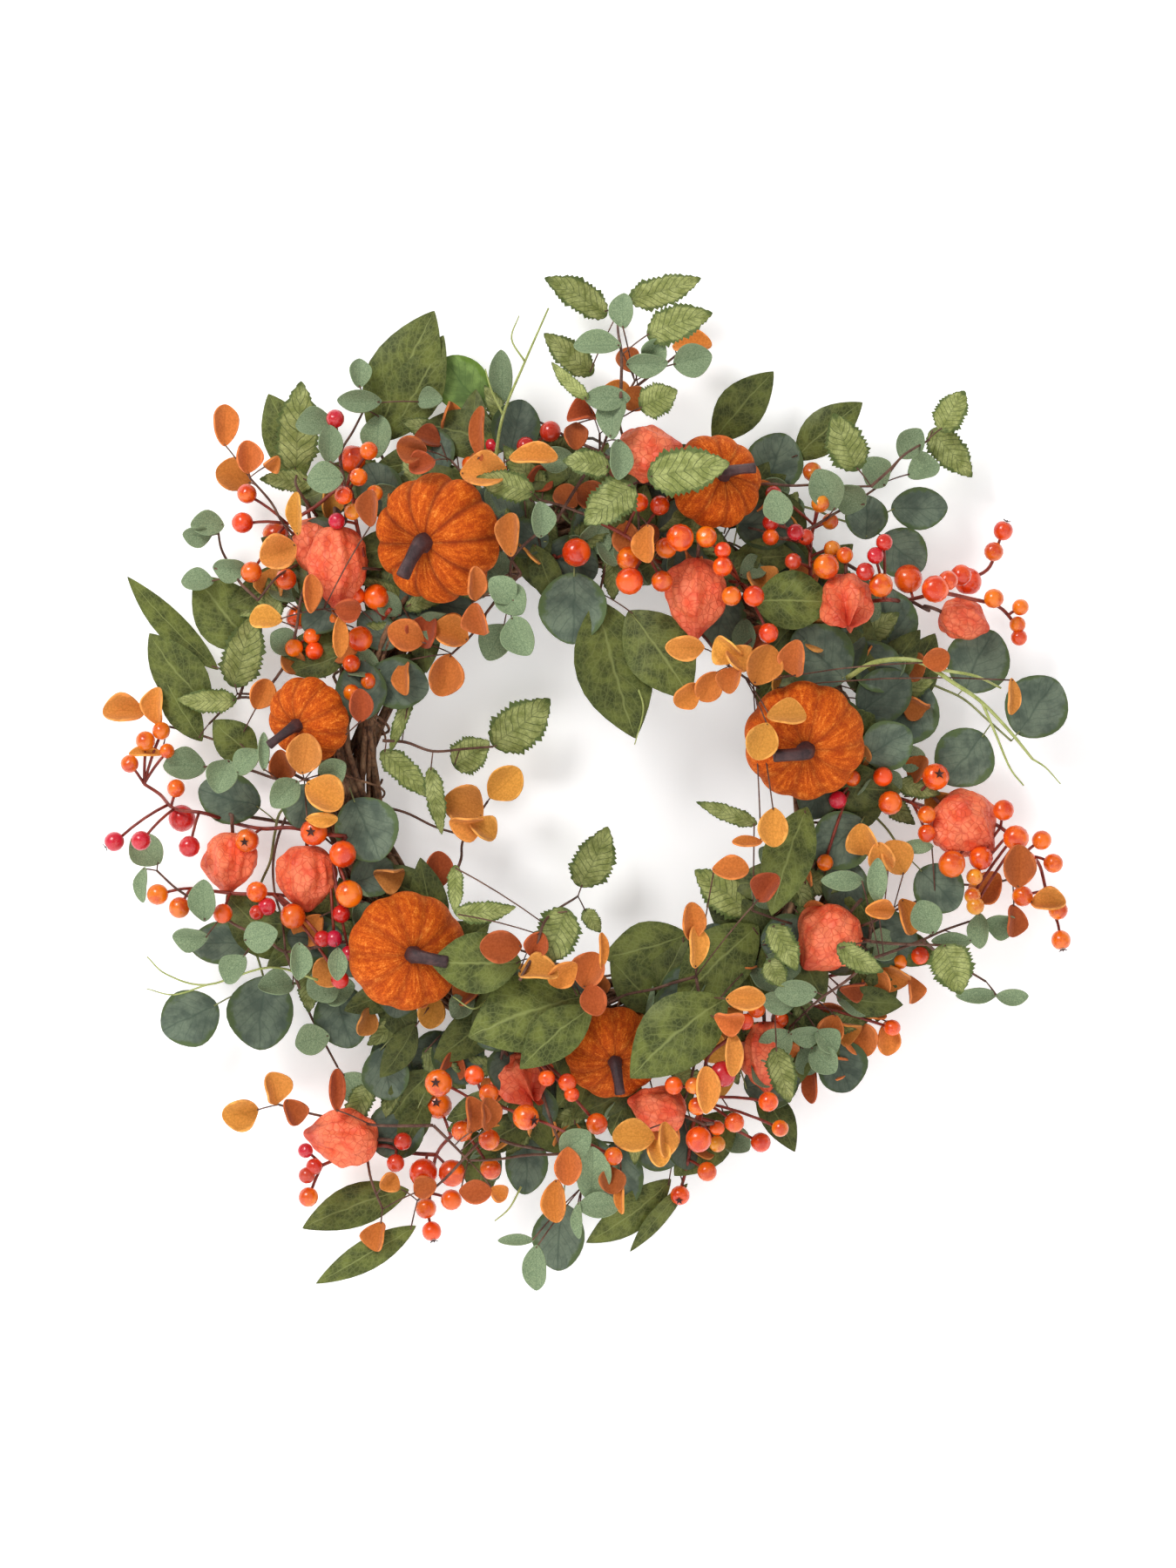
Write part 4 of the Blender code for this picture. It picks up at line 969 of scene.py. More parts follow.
LEAF_SPRAYS = [
    Spray("eucalyptus_left", Kind.EUCALYPTUS, stems=[
        [(-166, -7), (-214, -25), (-238, -115), (-226, -145)], [(-226, -145), (-178, -145)],
    ], leaves=[
        (-250, -17, 165, 43, 36), (-152, -38, -65, 45, 45), (-278, -170, -155, 41, 41),
        (-227, -166, -95, 50, 47), (-171, -169, -75, 44, 40), (-196, -22, -105, 30, 30),
        (-256, -118, -180, 42, 30), (-188, -103, 90, 36, 36),
    ]),
    Spray("eucalyptus_top", Kind.EUCALYPTUS, stems=[
        [(-70, 251), (-10, 173), (26, 197), (122, 197), (194, 173)],
    ], leaves=[
        (-10, 114, -90, 48, 48), (130, 217, 70, 41, 41), (231, 185, 0, 38, 30), (219, 154, -40, 36, 36),
        (-87, 272, 130, 43, 37, "L"), (194, 179, 90, 30, 30),
    ]),
    Spray("eucalyptus_bottom", Kind.EUCALYPTUS, stems=[
        [(-106, -181), (-52, -223), (-16, -259), (26, -259)],
    ], leaves=[
        (-43, -271, -90, 43, 30), (-20, -323, -95, 45, 37), (-13, -220, 35, 36, 36),
        (-134, -196, -150, 36, 36), (-106, -196, -150, 36, 36), (21, -281, -90, 48, 36),
    ]),
    Spray("eucalyptus_right", Kind.EUCALYPTUS, stems=[
        [(164, 53), (185, 74), (220, 76), (260, 53), (296, 23)], [(164, 53), (185, -7), (218, -55)],
    ], leaves=[
        (208, 106, 100, 45, 45), (272, 79, 65, 45, 45), (313, 47, 55, 45, 45), (220, 43, -125, 49, 49),
        (262, 11, -130, 43, 43), (160, 81, 135, 47, 47), (206, 20, 30, 36, 36), (174, -46, -140, 42, 42),
        (242, -79, -45, 36, 36),
    ]),
    Spray("lemon_left", Kind.LEMON, stems=[
        [(-208, 53), (-244, 53), (-265, 35)], [(-244, 53), (-235, 80)],
    ], leaves=[
        (-290, 104, 135, 87, 21), (-252, 111, 130, 65, 45), (-286, 71, 130, 64, 36),
        (-284, 47, 120, 55, 24), (-247, 23, 140, 38, 30),
    ]),
    Spray("lemon_top", Kind.LEMON, stems=[
        [(-136, 197), (-148, 224), (-190, 206)],
    ], leaves=[
        (-129, 276, 65, 97, 51), (-120, 267, 60, 81, 36), (-211, 235, 110, 63, 36),
    ]),
    Spray("lemon_right", Kind.LEMON, stems=[
        [(14, 167), (68, 197), (104, 215), (137, 218)], [(14, 167), (8, 125)],
        [(68, 197), (104, 149), (114, 122)],
    ], leaves=[
        (108, 256, 50, 62, 33), (166, 239, 40, 59, 30), (19, 72, -75, 95, 54), (49, 83, -55, 72, 48),
        (141, 119, 0, 53, 42, "F"),
    ]),
    Spray("lemon_bottom", Kind.LEMON, stems=[
        [(116, -133), (74, -133), (8, -139), (-40, -127)], [(116, -133), (134, -103), (149, -28)],
        [(-70, -247), (-16, -265), (62, -271)], [(-70, -247), (-118, -295)],
        [(-40, -127), (-60, -190), (-70, -247)],
    ], leaves=[
        (-42, -162, -160, 80, 54), (-22, -177, -140, 62, 33), (40, -120, -165, 58, 36),
        (89, -130, -135, 76, 45), (60, -176, -140, 82, 51), (-75, -128, -180, 59, 43),
        (137, -58, -110, 76, 36), (-163, -302, -160, 76, 30), (-152, -330, -150, 76, 21),
        (30, -306, -145, 71, 27), (49, -309, -130, 60, 13),
    ], links=1),
    Spray("felt_top_left", Kind.FELT, stems=[
        [(-178, 137), (-208, 173), (-232, 203)], [(-178, 137), (-181, 113)],
        [(-46, 137), (-70, 185), (-94, 215)], [(-46, 137), (-94, 83)],
        [(-178, 137), (-110, 143), (-46, 137)],
    ], leaves=[
        (-248, 238, 90, 28, 18, "O"), (-247, 208, 160, 25, 24, "O"), (-232, 216, 90, 22, 18, "O"),
        (-216, 212, 30, 13, 11, "O"), (-199, 177, 90, 30, 12, "M"), (-211, 151, -155, 26, 24, "M"),
        (-220, 106, -180, 22, 17, "M"), (-189, 123, 90, 26, 13, "O"), (-146, 178, 90, 24, 16, "D"),
        (-169, 94, -90, 28, 11, "O"), (-164, 112, 0, 18, 16, "D"), (-119, 220, 170, 20, 18, "D"),
        (-112, 209, -160, 18, 16, "D"), (-74, 230, 90, 36, 12, "D"), (-71, 204, 0, 31, 24, "M"),
        (-37, 214, 0, 32, 16, "M"), (-52, 161, 90, 29, 17, "O"), (-76, 127, 90, 24, 14, "O"),
        (-74, 105, 90, 25, 19, "O"), (-125, 95, 160, 26, 22, "O"), (-127, 67, -90, 26, 14, "O"),
        (-94, 97, 160, 25, 23, "O"), (-98, 68, -105, 29, 24, "O"),
    ], links=1),
    Spray("felt_left", Kind.FELT, stems=[
        [(-196, -4), (-256, 23), (-301, 35)], [(-94, -73), (-85, -43), (-70, -19)],
        [(-196, -4), (-150, -20), (-85, -43)],
    ], leaves=[
        (-324, 44, -180, 28, 20, "M"), (-301, 47, 90, 26, 16, "M"), (-308, 15, -180, 24, 7, "M"),
        (-193, 13, 80, 28, 24, "M"), (-180, -14, -35, 28, 25, "M"), (-182, -31, 0, 22, 10, "M"),
        (-226, 55, 65, 22, 18, "O"), (-155, 46, 90, 23, 16, "D"), (-209, 6, 110, 22, 18, "D"),
        (-58, -7, 45, 29, 24, "M"), (-86, -23, 155, 29, 28, "M"), (-82, -35, -180, 26, 18, "M"),
        (-72, -38, -35, 20, 18, "M"), (-104, -67, 90, 26, 20, "D"),
    ], links=1),
    Spray("felt_right", Kind.FELT, stems=[
        [(122, 101), (92, 77), (128, 53)], [(32, 209), (20, 245), (32, 269)], [(32, 269), (62, 293)],
        [(32, 209), (35, 167)], [(92, 77), (60, 120), (35, 167)],
    ], leaves=[
        (66, 85, -180, 28, 17, "M"), (95, 84, 140, 22, 20, "M"), (101, 78, -55, 20, 18, "M"),
        (97, 64, -105, 20, 18, "O"), (67, 53, -135, 20, 18, "O"), (82, 59, -120, 22, 18, "O"),
        (118, 73, 70, 28, 25, "O"), (140, 77, 90, 26, 19, "O"), (134, 40, 0, 26, 20, "M"),
        (117, 22, -110, 26, 22, "M"), (125, -36, -90, 26, 20, "M"), (108, -46, -180, 22, 8, "O"),
        (287, 52, -90, 24, 10, "M"), (235, 77, 15, 18, 16, "D"), (72, 299, 0, 28, 18, "O"),
        (28, 287, 125, 18, 16, "D"), (21, 262, 155, 24, 20, "O"), (32, 254, -50, 18, 18, "D"),
        (-4, 242, -175, 20, 17, "D"), (-8, 229, -90, 20, 16, "D"), (40, 155, -90, 26, 18, "O"),
    ], links=1),
    Spray("felt_lower_right", Kind.FELT, stems=[
        [(134, -127), (194, -103), (254, -79), (296, -73)], [(194, -103), (200, -133), (182, -169)],
    ], leaves=[
        (190, -46, 110, 24, 22, "M"), (212, -58, 120, 25, 23, "M"), (202, -58, 115, 22, 18, "M"),
        (277, -78, -140, 25, 22, "O"), (295, -64, 90, 30, 22, "D"), (319, -89, 0, 24, 17, "M"),
        (220, -98, -75, 25, 20, "O"), (200, -93, -180, 22, 13, "O"), (296, -102, -90, 22, 18, "D"),
        (200, -144, -50, 24, 19, "O"), (212, -139, -30, 25, 20, "O"), (167, -169, 180, 28, 23, "O"),
        (190, -184, -65, 25, 23, "O"), (195, -167, 0, 25, 12, "O"), (209, -184, -90, 24, 16, "O"),
        (174, -203, -180, 24, 16, "O"), (155, -215, -90, 28, 12, "D"),
    ]),
    Spray("felt_bottom", Kind.FELT, stems=[
        [(74, -139), (80, -181), (62, -235), (14, -259)], [(14, -157), (-16, -133), (-46, -121)],
        [(-106, -241), (-166, -241), (-214, -229)], [(-106, -241), (-82, -265)],
        [(-166, -241), (-142, -301)], [(74, -139), (44, -148), (14, -157)],
        [(14, -259), (-40, -262), (-82, -265)],
    ], leaves=[
        (70, -100, 90, 26, 16, "O"), (73, -117, 90, 28, 16, "M"), (106, -152, 0, 26, 16, "M"),
        (95, -165, 0, 20, 18, "O"), (98, -188, -90, 30, 12, "M"), (80, -213, 90, 31, 16, "M"),
        (-13, -263, -90, 25, 18, "O"), (-22, -287, -90, 28, 17, "O"), (31, -245, -180, 28, 22, "M"),
        (52, -247, -90, 24, 14, "M"), (47, -256, -70, 19, 16, "M"), (22, -283, -90, 25, 7, "O"),
        (16, -273, -85, 18, 18, "D"), (96, -64, 0, 24, 17, "O"), (120, -77, 55, 22, 18, "D"),
        (-58, -116, -180, 28, 22, "D"), (-35, -115, 65, 18, 16, "D"), (-34, -133, 0, 29, 19, "M"),
        (-17, -134, -145, 22, 18, "O"), (1, -133, 70, 25, 23, "O"), (10, -119, 90, 24, 7, "O"),
        (4, -152, -75, 22, 18, "D"), (-216, -217, 100, 23, 22, "M"), (-239, -234, -170, 25, 22, "M"),
        (-203, -233, -65, 19, 17, "D"), (-173, -218, 90, 29, 11, "D"), (-137, -281, 40, 14, 14, "O"),
        (-144, -317, -100, 20, 18, "O"), (-76, -281, 0, 22, 16, "D"), (-113, -285, 30, 18, 16, "D"),
        (-78, -230, 90, 26, 18, "D"), (-67, -229, 90, 22, 17, "D"), (-60, -282, -40, 12, 12, "O"),
    ], links=2),
    Spray("sage_top_left", Kind.SAGE, stems=[
        [(-166, 173), (-169, 221), (-154, 257)], [(-226, 119), (-250, 143), (-259, 173)],
        [(-166, 173), (-196, 150), (-226, 119)],
    ], leaves=[
        (-158, 278, 90, 20, 16), (-158, 258, -180, 30, 16), (-146, 235, -90, 30, 22),
        (-188, 241, -180, 26, 20), (-176, 225, 90, 26, 18), (-178, 200, -175, 24, 22),
        (-110, 259, 5, 18, 16), (-265, 174, -180, 23, 18), (-272, 166, -180, 20, 16),
        (-248, 142, 0, 23, 18), (-271, 134, -180, 22, 17),
    ], links=1),
    Spray("sage_top", Kind.SAGE, stems=[
        [(-22, 173), (8, 221), (32, 269)], [(-22, 173), (-52, 149), (-55, 113)], [(8, 221), (-46, 251)],
        [(134, 161), (170, 179), (206, 203)], [(8, 221), (70, 190), (134, 161)],
    ], leaves=[
        (23, 311, 90, 23, 18), (6, 288, -180, 31, 18), (39, 275, 0, 28, 17), (44, 284, 50, 18, 18),
        (70, 278, 15, 26, 23), (13, 252, -180, 30, 17), (17, 240, 90, 30, 23), (21, 211, -90, 27, 18),
        (-22, 215, -180, 24, 18), (-60, 276, 90, 37, 17), (-57, 123, 135, 22, 19), (-52, 117, -50, 25, 22),
        (-64, 92, -115, 28, 24), (-46, 92, -65, 28, 23), (-31, 170, 90, 24, 18), (200, 209, 130, 24, 23),
        (181, 190, 155, 24, 22), (224, 229, 55, 24, 20), (233, 212, 20, 23, 20), (163, 194, 115, 30, 24),
        (128, 179, 110, 24, 20),
    ], links=1),
    Spray("sage_left", Kind.SAGE, stems=[
        [(-202, -7), (-238, 5), (-268, 5)], [(-166, -115), (-208, -121), (-256, -97), (-298, -67)],
        [(-208, -121), (-196, -169), (-175, -205)], [(-202, -7), (-220, -60), (-208, -121)],
    ], leaves=[
        (-281, 6, -180, 29, 23), (-252, -1, -110, 24, 22), (-235, 8, 45, 22, 18), (-222, 15, 90, 26, 8),
        (-207, -13, -135, 25, 20), (-175, 2, 20, 20, 20), (-308, -53, 130, 27, 24),
        (-307, -76, -90, 25, 11), (-272, -112, -180, 24, 18), (-263, -87, 90, 28, 20),
        (-241, -133, -125, 22, 20), (-224, -111, 15, 25, 22), (-214, -145, -180, 25, 19),
        (-196, -127, -90, 25, 16), (-175, -149, 5, 25, 23), (-170, -129, -90, 22, 14),
        (-192, -185, -165, 24, 22), (-163, -218, -50, 24, 22),
    ], links=1),
    Spray("sage_lower_right", Kind.SAGE, stems=[
        [(194, -127), (230, -115), (266, -103)], [(194, -127), (158, -157), (140, -175)],
        [(230, -115), (278, -145)],
    ], leaves=[
        (174, -73, -180, 30, 14), (197, -73, 90, 30, 14), (227, -50, -180, 22, 10), (231, -98, 115, 24, 22),
        (251, -115, -180, 29, 12), (272, -109, -90, 24, 16), (287, -104, 0, 22, 20),
        (271, -154, -180, 30, 11), (295, -155, 0, 22, 12), (142, -149, -180, 28, 19),
        (131, -156, -180, 24, 18), (129, -187, -135, 28, 23), (150, -180, 0, 22, 16),
        (162, -197, -45, 23, 20), (165, -184, -45, 20, 18),
    ]),
    Spray("sage_bottom", Kind.SAGE, stems=[
        [(-46, -187), (-22, -247), (-4, -283)],
    ], leaves=[
        (7, -290, 0, 27, 18), (3, -269, 90, 36, 24), (-9, -248, 35, 24, 21), (-35, -332, -90, 30, 18),
        (-48, -313, -180, 24, 8), (-7, -300, -90, 24, 8),
    ]),
    Spray("mint_left", Kind.MINT, stems=[
        [(-208, 77), (-226, 59), (-245, 56)], [(-184, 173), (-199, 197), (-203, 210)],
        [(-208, 77), (-196, 120), (-184, 173)],
    ], leaves=[
        (-239, 85, 75, 52, 34), (-265, 51, -180, 40, 20), (-202, 241, 85, 61, 36), (-209, 204, 175, 36, 19),
    ], links=1),
    Spray("mint_upper", Kind.MINT, stems=[
        [(14, 173), (32, 197), (41, 199)], [(14, 173), (8, 233)], [(14, 173), (-34, 188)],
        [(194, 197), (218, 221), (238, 233)], [(41, 199), (120, 200), (194, 197)],
    ], leaves=[
        (67, 203, 10, 54, 37), (14, 182, -140, 42, 35), (47, 251, 25, 27, 27), (-13, 263, 135, 34, 12),
        (-56, 195, 165, 39, 24), (-1, 209, 170, 31, 23), (253, 253, 60, 32, 26), (253, 225, -50, 43, 28),
        (176, 226, 115, 41, 33),
    ], links=1),
    Spray("mint_lower_right", Kind.MINT, stems=[
        [(194, -115), (134, -103), (113, -94)], [(194, -115), (248, -118)], [(134, -103), (128, -181)],
    ], leaves=[
        (94, -81, 145, 47, 34), (134, -118, -60, 35, 23), (95, -27, 160, 43, 14), (248, -132, -70, 35, 35),
        (133, -206, -75, 38, 23), (185, -127, -30, 35, 20), (128, -136, -60, 21, 20),
    ]),
    Spray("mint_top", Kind.MINT, stems=[
        [(22, 252), (22, 281), (21, 323)],
    ], leaves=[
        (-7, 335, 150, 49, 27), (53, 337, 15, 51, 26), (-14, 293, 140, 43, 24), (60, 301, 20, 45, 29),
    ]),
    Spray("mint_inner_left", Kind.MINT, stems=[
        [(-142, 23), (-106, 17), (-66, 19)],
    ], leaves=[
        (-46, 34, 40, 50, 40), (-82, 14, 35, 30, 30), (-105, -18, -80, 46, 16), (-130, 36, -110, 44, 12),
        (-126, 1, -45, 44, 22),
    ]),
    Spray("mint_inner_bottom", Kind.MINT, stems=[
        [(-46, -139), (-28, -97), (-7, -85)],
    ], leaves=[
        (5, -59, 65, 45, 34), (-22, -110, -115, 42, 35), (3, -102, -55, 19, 14), (-69, -93, 5, 40, 18),
        (-89, -78, -90, 32, 13),
    ]),
]

BERRY_PICKS = [
    BerryPick("berries_top_left", stems=[
        [(-154, 149), (-166, 197), (-208, 173)], [(-136, 113), (-160, 95), (-184, 101)],
        [(-154, 149), (-136, 113)],
    ], berries=[
        (-235, 193, 6.5, "O"), (-238, 173, 7.0, "O"), (-218, 167, 8.5, "O"), (-232, 139, 7.0, "O"),
        (-208, 134, 7.0, "O"), (-173, 243, 6.0, "R"), (-163, 219, 9.5, "O"), (-150, 221, 6.0, "O"),
        (-157, 203, 6.0, "O"), (-166, 189, 6.0, "O"), (-161, 179, 5.5, "Y"), (-146, 192, 5.5, "Y"),
        (-172, 173, 5.5, "R"), (-202, 109, 8.0, "O"), (-191, 95, 5.5, "O"), (-203, 87, 6.0, "O"),
        (-189, 85, 6.0, "O"), (-173, 106, 6.0, "O"), (-157, 93, 8.5, "O"), (-163, 76, 6.0, "O"),
        (-163, 56, 5.5, "O"), (-151, 64, 5.5, "O"), (-146, 122, 8.5, "O"), (-160, 123, 6.0, "O"),
    ], links=1),
    BerryPick("berries_top", stems=[
        [(-22, 149), (-64, 209), (-94, 233)], [(8, 173), (44, 149), (104, 131)], [(-22, 149), (8, 173)],
    ], berries=[
        (-99, 242, 6.0, "Y"), (-94, 236, 5.5, "O"), (-104, 226, 6.0, "R"), (-93, 227, 6.0, "R"),
        (-66, 228, 6.0, "R"), (-53, 239, 6.0, "R"), (-43, 226, 6.0, "R"), (-26, 236, 7.0, "R"),
        (-82, 215, 5.5, "O"), (-8, 152, 9.5, "O"), (28, 148, 8.0, "O"), (28, 130, 9.0, "O"),
        (62, 159, 9.0, "O"), (53, 153, 7.0, "O"), (80, 160, 7.0, "O"), (91, 140, 6.5, "O"),
        (91, 151, 5.5, "O"), (50, 130, 7.0, "O"), (97, 120, 6.5, "O"), (112, 120, 7.0, "O"),
        (122, 95, 6.5, "O"), (35, 185, 6.0, "O"), (49, 183, 6.5, "O"),
    ], links=1),
    BerryPick("berries_upper_right", stems=[
        [(152, 113), (152, 161), (161, 197)], [(185, 119), (239, 125), (278, 143), (287, 161)],
        [(239, 125), (284, 116), (299, 104)], [(152, 113), (185, 119)],
    ], berries=[
        (156, 210, 6.5, "Y"), (159, 185, 6.0, "Y"), (167, 174, 5.5, "Y"), (167, 154, 5.5, "Y"),
        (175, 149, 5.5, "O"), (128, 193, 5.5, "R"), (125, 172, 5.5, "R"), (141, 164, 5.5, "R"),
        (149, 162, 5.5, "R"), (125, 162, 5.5, "O"), (140, 145, 5.5, "R"), (162, 141, 8.5, "O"),
        (201, 157, 5.5, "R"), (195, 148, 5.5, "R"), (188, 137, 6.0, "R"), (199, 128, 8.0, "O"),
        (223, 136, 9.5, "O"), (235, 125, 9.0, "O"), (244, 131, 6.5, "O"), (257, 137, 7.0, "O"),
        (265, 134, 9.0, "O"), (280, 121, 6.5, "O"), (283, 155, 6.5, "O"), (290, 170, 6.5, "C"),
        (301, 116, 5.5, "O"), (299, 104, 5.5, "O"), (300, 95, 5.5, "O"),
    ], links=1),
    BerryPick("berries_right", stems=[
        [(182, -7), (239, -25), (284, -37), (314, -61), (328, -103)],
    ], berries=[
        (203, -2, 6.5, "O"), (172, -18, 6.0, "R"), (182, -3, 5.5, "O"), (208, -20, 8.0, "O"),
        (240, -2, 9.0, "S"), (233, -28, 6.0, "O"), (233, -41, 6.0, "O"), (250, -62, 9.0, "O"),
        (271, -58, 8.0, "O"), (266, -71, 5.5, "Y"), (265, -84, 5.5, "Y"), (267, -91, 6.0, "Y"),
        (286, -25, 7.0, "O"), (294, -44, 8.5, "O"), (315, -46, 6.5, "O"), (323, -62, 6.5, "O"),
        (304, -62, 8.5, "O"), (302, -85, 7.0, "O"), (328, -95, 6.5, "O"), (330, -116, 6.5, "C"),
        (163, -61, 5.5, "O"),
    ]),
    BerryPick("berries_lower_right", stems=[
        [(122, -157), (83, -193), (74, -247), (65, -289)],
    ], berries=[
        (230, -126, 6.5, "O"), (216, -130, 5.5, "O"), (211, -176, 5.5, "O"), (116, -162, 6.0, "O"),
        (133, -170, 6.0, "O"), (108, -170, 5.5, "O"), (82, -182, 8.0, "O"), (91, -203, 8.5, "R"),
        (71, -210, 5.5, "Y"), (74, -225, 6.0, "O"), (58, -211, 6.0, "O"), (99, -236, 6.5, "O"),
        (75, -248, 8.5, "O"), (89, -244, 5.0, "O"), (89, -255, 5.5, "Y"), (82, -274, 6.5, "O"),
        (64, -293, 6.5, "C"), (119, -254, 6.5, "O"), (130, -240, 5.5, "O"), (122, -222, 6.5, "O"),
    ]),
    BerryPick("berries_bottom", stems=[
        [(-46, -187), (-70, -223), (-106, -265), (-112, -307)], [(-106, -265), (-142, -259), (-184, -271)],
    ], berries=[
        (-81, -191, 9.0, "O"), (-101, -209, 9.0, "S"), (-77, -204, 6.5, "O"), (-67, -216, 6.5, "O"),
        (-104, -231, 9.0, "S"), (-42, -232, 8.5, "C"), (-86, -244, 7.0, "O"), (-67, -248, 7.0, "O"),
        (-28, -206, 5.5, "O"), (-14, -209, 6.0, "O"), (-11, -217, 5.0, "O"), (-128, -254, 6.0, "R"),
        (-133, -269, 6.0, "R"), (-114, -276, 9.5, "O"), (-94, -276, 9.0, "O"), (-67, -272, 7.0, "O"),
        (-113, -303, 7.0, "O"), (-95, -296, 7.0, "O"), (-109, -319, 6.5, "C"), (6, -237, 7.0, "O"),
        (17, -257, 6.0, "O"), (-194, -277, 5.5, "R"), (-189, -271, 5.5, "R"), (-195, -260, 5.0, "R"),
        (-193, -292, 6.5, "O"),
    ]),
    BerryPick("berries_left", stems=[
        [(-166, -43), (-226, -37), (-286, -25), (-310, -7)], [(-166, -43), (-202, -85), (-274, -79)],
    ], berries=[
        (-283, -31, 9.0, "R"), (-308, -46, 6.5, "R"), (-329, -47, 6.5, "RC"), (-274, -50, 7.0, "R"),
        (-319, 7, 6.0, "O"), (-308, 23, 6.5, "O"), (-297, 30, 6.0, "O"), (-293, 16, 5.0, "O"),
        (-286, -10, 6.0, "O"), (-296, -83, 7.0, "O"), (-281, -92, 7.0, "O"), (-251, -96, 6.5, "O"),
        (-227, -81, 7.0, "O"), (-235, -46, 8.0, "S"), (-188, -40, 9.0, "S"), (-168, -55, 9.0, "O"),
        (-163, -82, 9.0, "O"), (-203, -98, 8.5, "O"), (-227, -95, 5.0, "R"), (-220, -91, 6.0, "R"),
        (-169, -96, 6.0, "R"), (-182, -113, 5.5, "R"), (-174, -113, 5.5, "R"), (-170, -141, 6.0, "R"),
        (-164, -123, 5.0, "R"),
    ]),
]

PUMPKINS = [
    Pumpkin("pumpkin_upper_left", -102, 161, 46, -13, -7, -113),
    Pumpkin("pumpkin_left", -191, 38, 31, -11, -7, -141),
    Pumpkin("pumpkin_lower_left", -124, -121, 42, 8, -2, -10),
    Pumpkin("pumpkin_bottom", 17, -191, 34, 2, -8, -82),
    Pumpkin("pumpkin_right", 148, 23, 43, -1, -10, 180),
    Pumpkin("pumpkin_top", 86, 199, 34, 8, 5, 2),
]

LANTERNS = [
    LanternPick("lantern_upper_left", [(-190, 158, 44, 30, -80), (-173, 144, 58, 39, -88)]),
    LanternPick("lantern_left", [(-248, -60, 43, 36, -95), (-194, -70, 46, 40, -90)]),
    LanternPick("lantern_lower_left", [(-169, -252, 52, 37, 175)]),
    LanternPick("lantern_bottom", [(-46, -211, 38, 38, -60, "F"), (49, -230, 41, 31, 165)]),
    LanternPick("lantern_lower_right", [(123, -194, 50, 36, -88)]),
    LanternPick("lantern_inner_right", [(166, -113, 50, 43, -130)]),
    LanternPick("lantern_far_right", [(260, -35, 50, 44, -42)]),
    LanternPick("lantern_top", [(74, 122, 56, 37, -92), (40, 218, 44, 33, 10)]),
    LanternPick("lantern_upper_right", [(176, 119, 42, 30, -90, "F"), (260, 107, 36, 28, -20)]),
]


class Lay:
    """How far forward the CAD pieces lie, read by looking back at them from the front."""

    start: float = -0.5
    tried_depths: tuple = (40.0, 60.0, 80.0, 100.0, 120.0)

    def __init__(self) -> None:
        """Makes a search tree of each CAD node and one of all of them."""
        self.trees = {}
        corners: list = []
        faces: list = []
        for name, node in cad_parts.items():
            mesh = node.data
            places = [vertex.co.copy() for vertex in mesh.vertices]
            polygons = [list(polygon.vertices) for polygon in mesh.polygons]
            self.trees[name] = BVHTree.FromPolygons(places, polygons)
            if name not in BODIES:
                offset = len(corners)
                corners.extend(places)
                faces.extend([[index + offset for index in polygon] for polygon in polygons])
        self.whole = BVHTree.FromPolygons(corners, faces)

    def seen(self, name: str, x: float, z: float) -> tuple[Optional[float], Optional[Vector]]:
        """The front of one CAD node at a place.

        Args:
            name: the node.
            x: millimetres right of the ring's centre.
            z: millimetres above the ring's centre.

        Returns:
            The depth in millimetres and the surface's normal, or two Nones where the node isn't there.
        """
        origin = point(x, z, 0.0)
        origin.y = self.start
        place, normal, _, _ = self.trees[name].ray_cast(origin, Vector((0.0, 1.0, 0.0)))
        if place is None:
            return None, None
        return -place.y / MM, normal

    def stem_depth(self, name: str, x: float, z: float) -> float:
        """The depth of a node's own material at or nearest to a place.

        Args:
            name: the node.
            x: millimetres right of the ring's centre.
            z: millimetres above the ring's centre.

        Returns:
            The depth in millimetres.
        """
        near = min(self.tried_depths, key=lambda depth: self.gap(name, x, z, depth))
        place = self.trees[name].find_nearest(point(x, z, near))[0]
        return -place.y / MM

    def gap(self, name: str, x: float, z: float, depth: float) -> float:
        """The distance in metres from a place to a node."""
        return self.trees[name].find_nearest(point(x, z, depth))[3]

    def front(self, x: float, z: float) -> float:
        """The depth of the frontmost fixed CAD piece at a place, or 0 where there is none.

        Args:
            x: millimetres right of the ring's centre.
            z: millimetres above the ring's centre.

        Returns:
            The depth in millimetres.
        """
        origin = point(x, z, 0.0)
        origin.y = self.start
        place = self.whole.ray_cast(origin, Vector((0.0, 1.0, 0.0)))[0]
        return 0.0 if place is None else -place.y / MM


# ---------------------------------------------------------------------------------------------- stems


def smooth_route(places: Sequence[Vector], steps: int = 6) -> list[Vector]:
    """A smooth line through given places.

    Args:
        places: the places it passes.
        steps: points to each stretch.

    Returns:
        The line's points, ends included.
    """
    if len(places) < 3:
        return [places[0].lerp(places[-1], step / steps) for step in range(steps + 1)]
    padded = [2 * places[0] - places[1], *places, 2 * places[-1] - places[-2]]
    line = []
    for before, start, end, after in zip(padded, padded[1:], padded[2:], padded[3:]):
        for step in range(steps):
            t = step / steps
            line.append(0.5 * ((2 * start) + (end - before) * t
                               + (2 * before - 5 * start + 4 * end - after) * t ** 2
                               + (3 * start - before - 3 * end + after) * t ** 3))
    line.append(places[-1].copy())
    return line


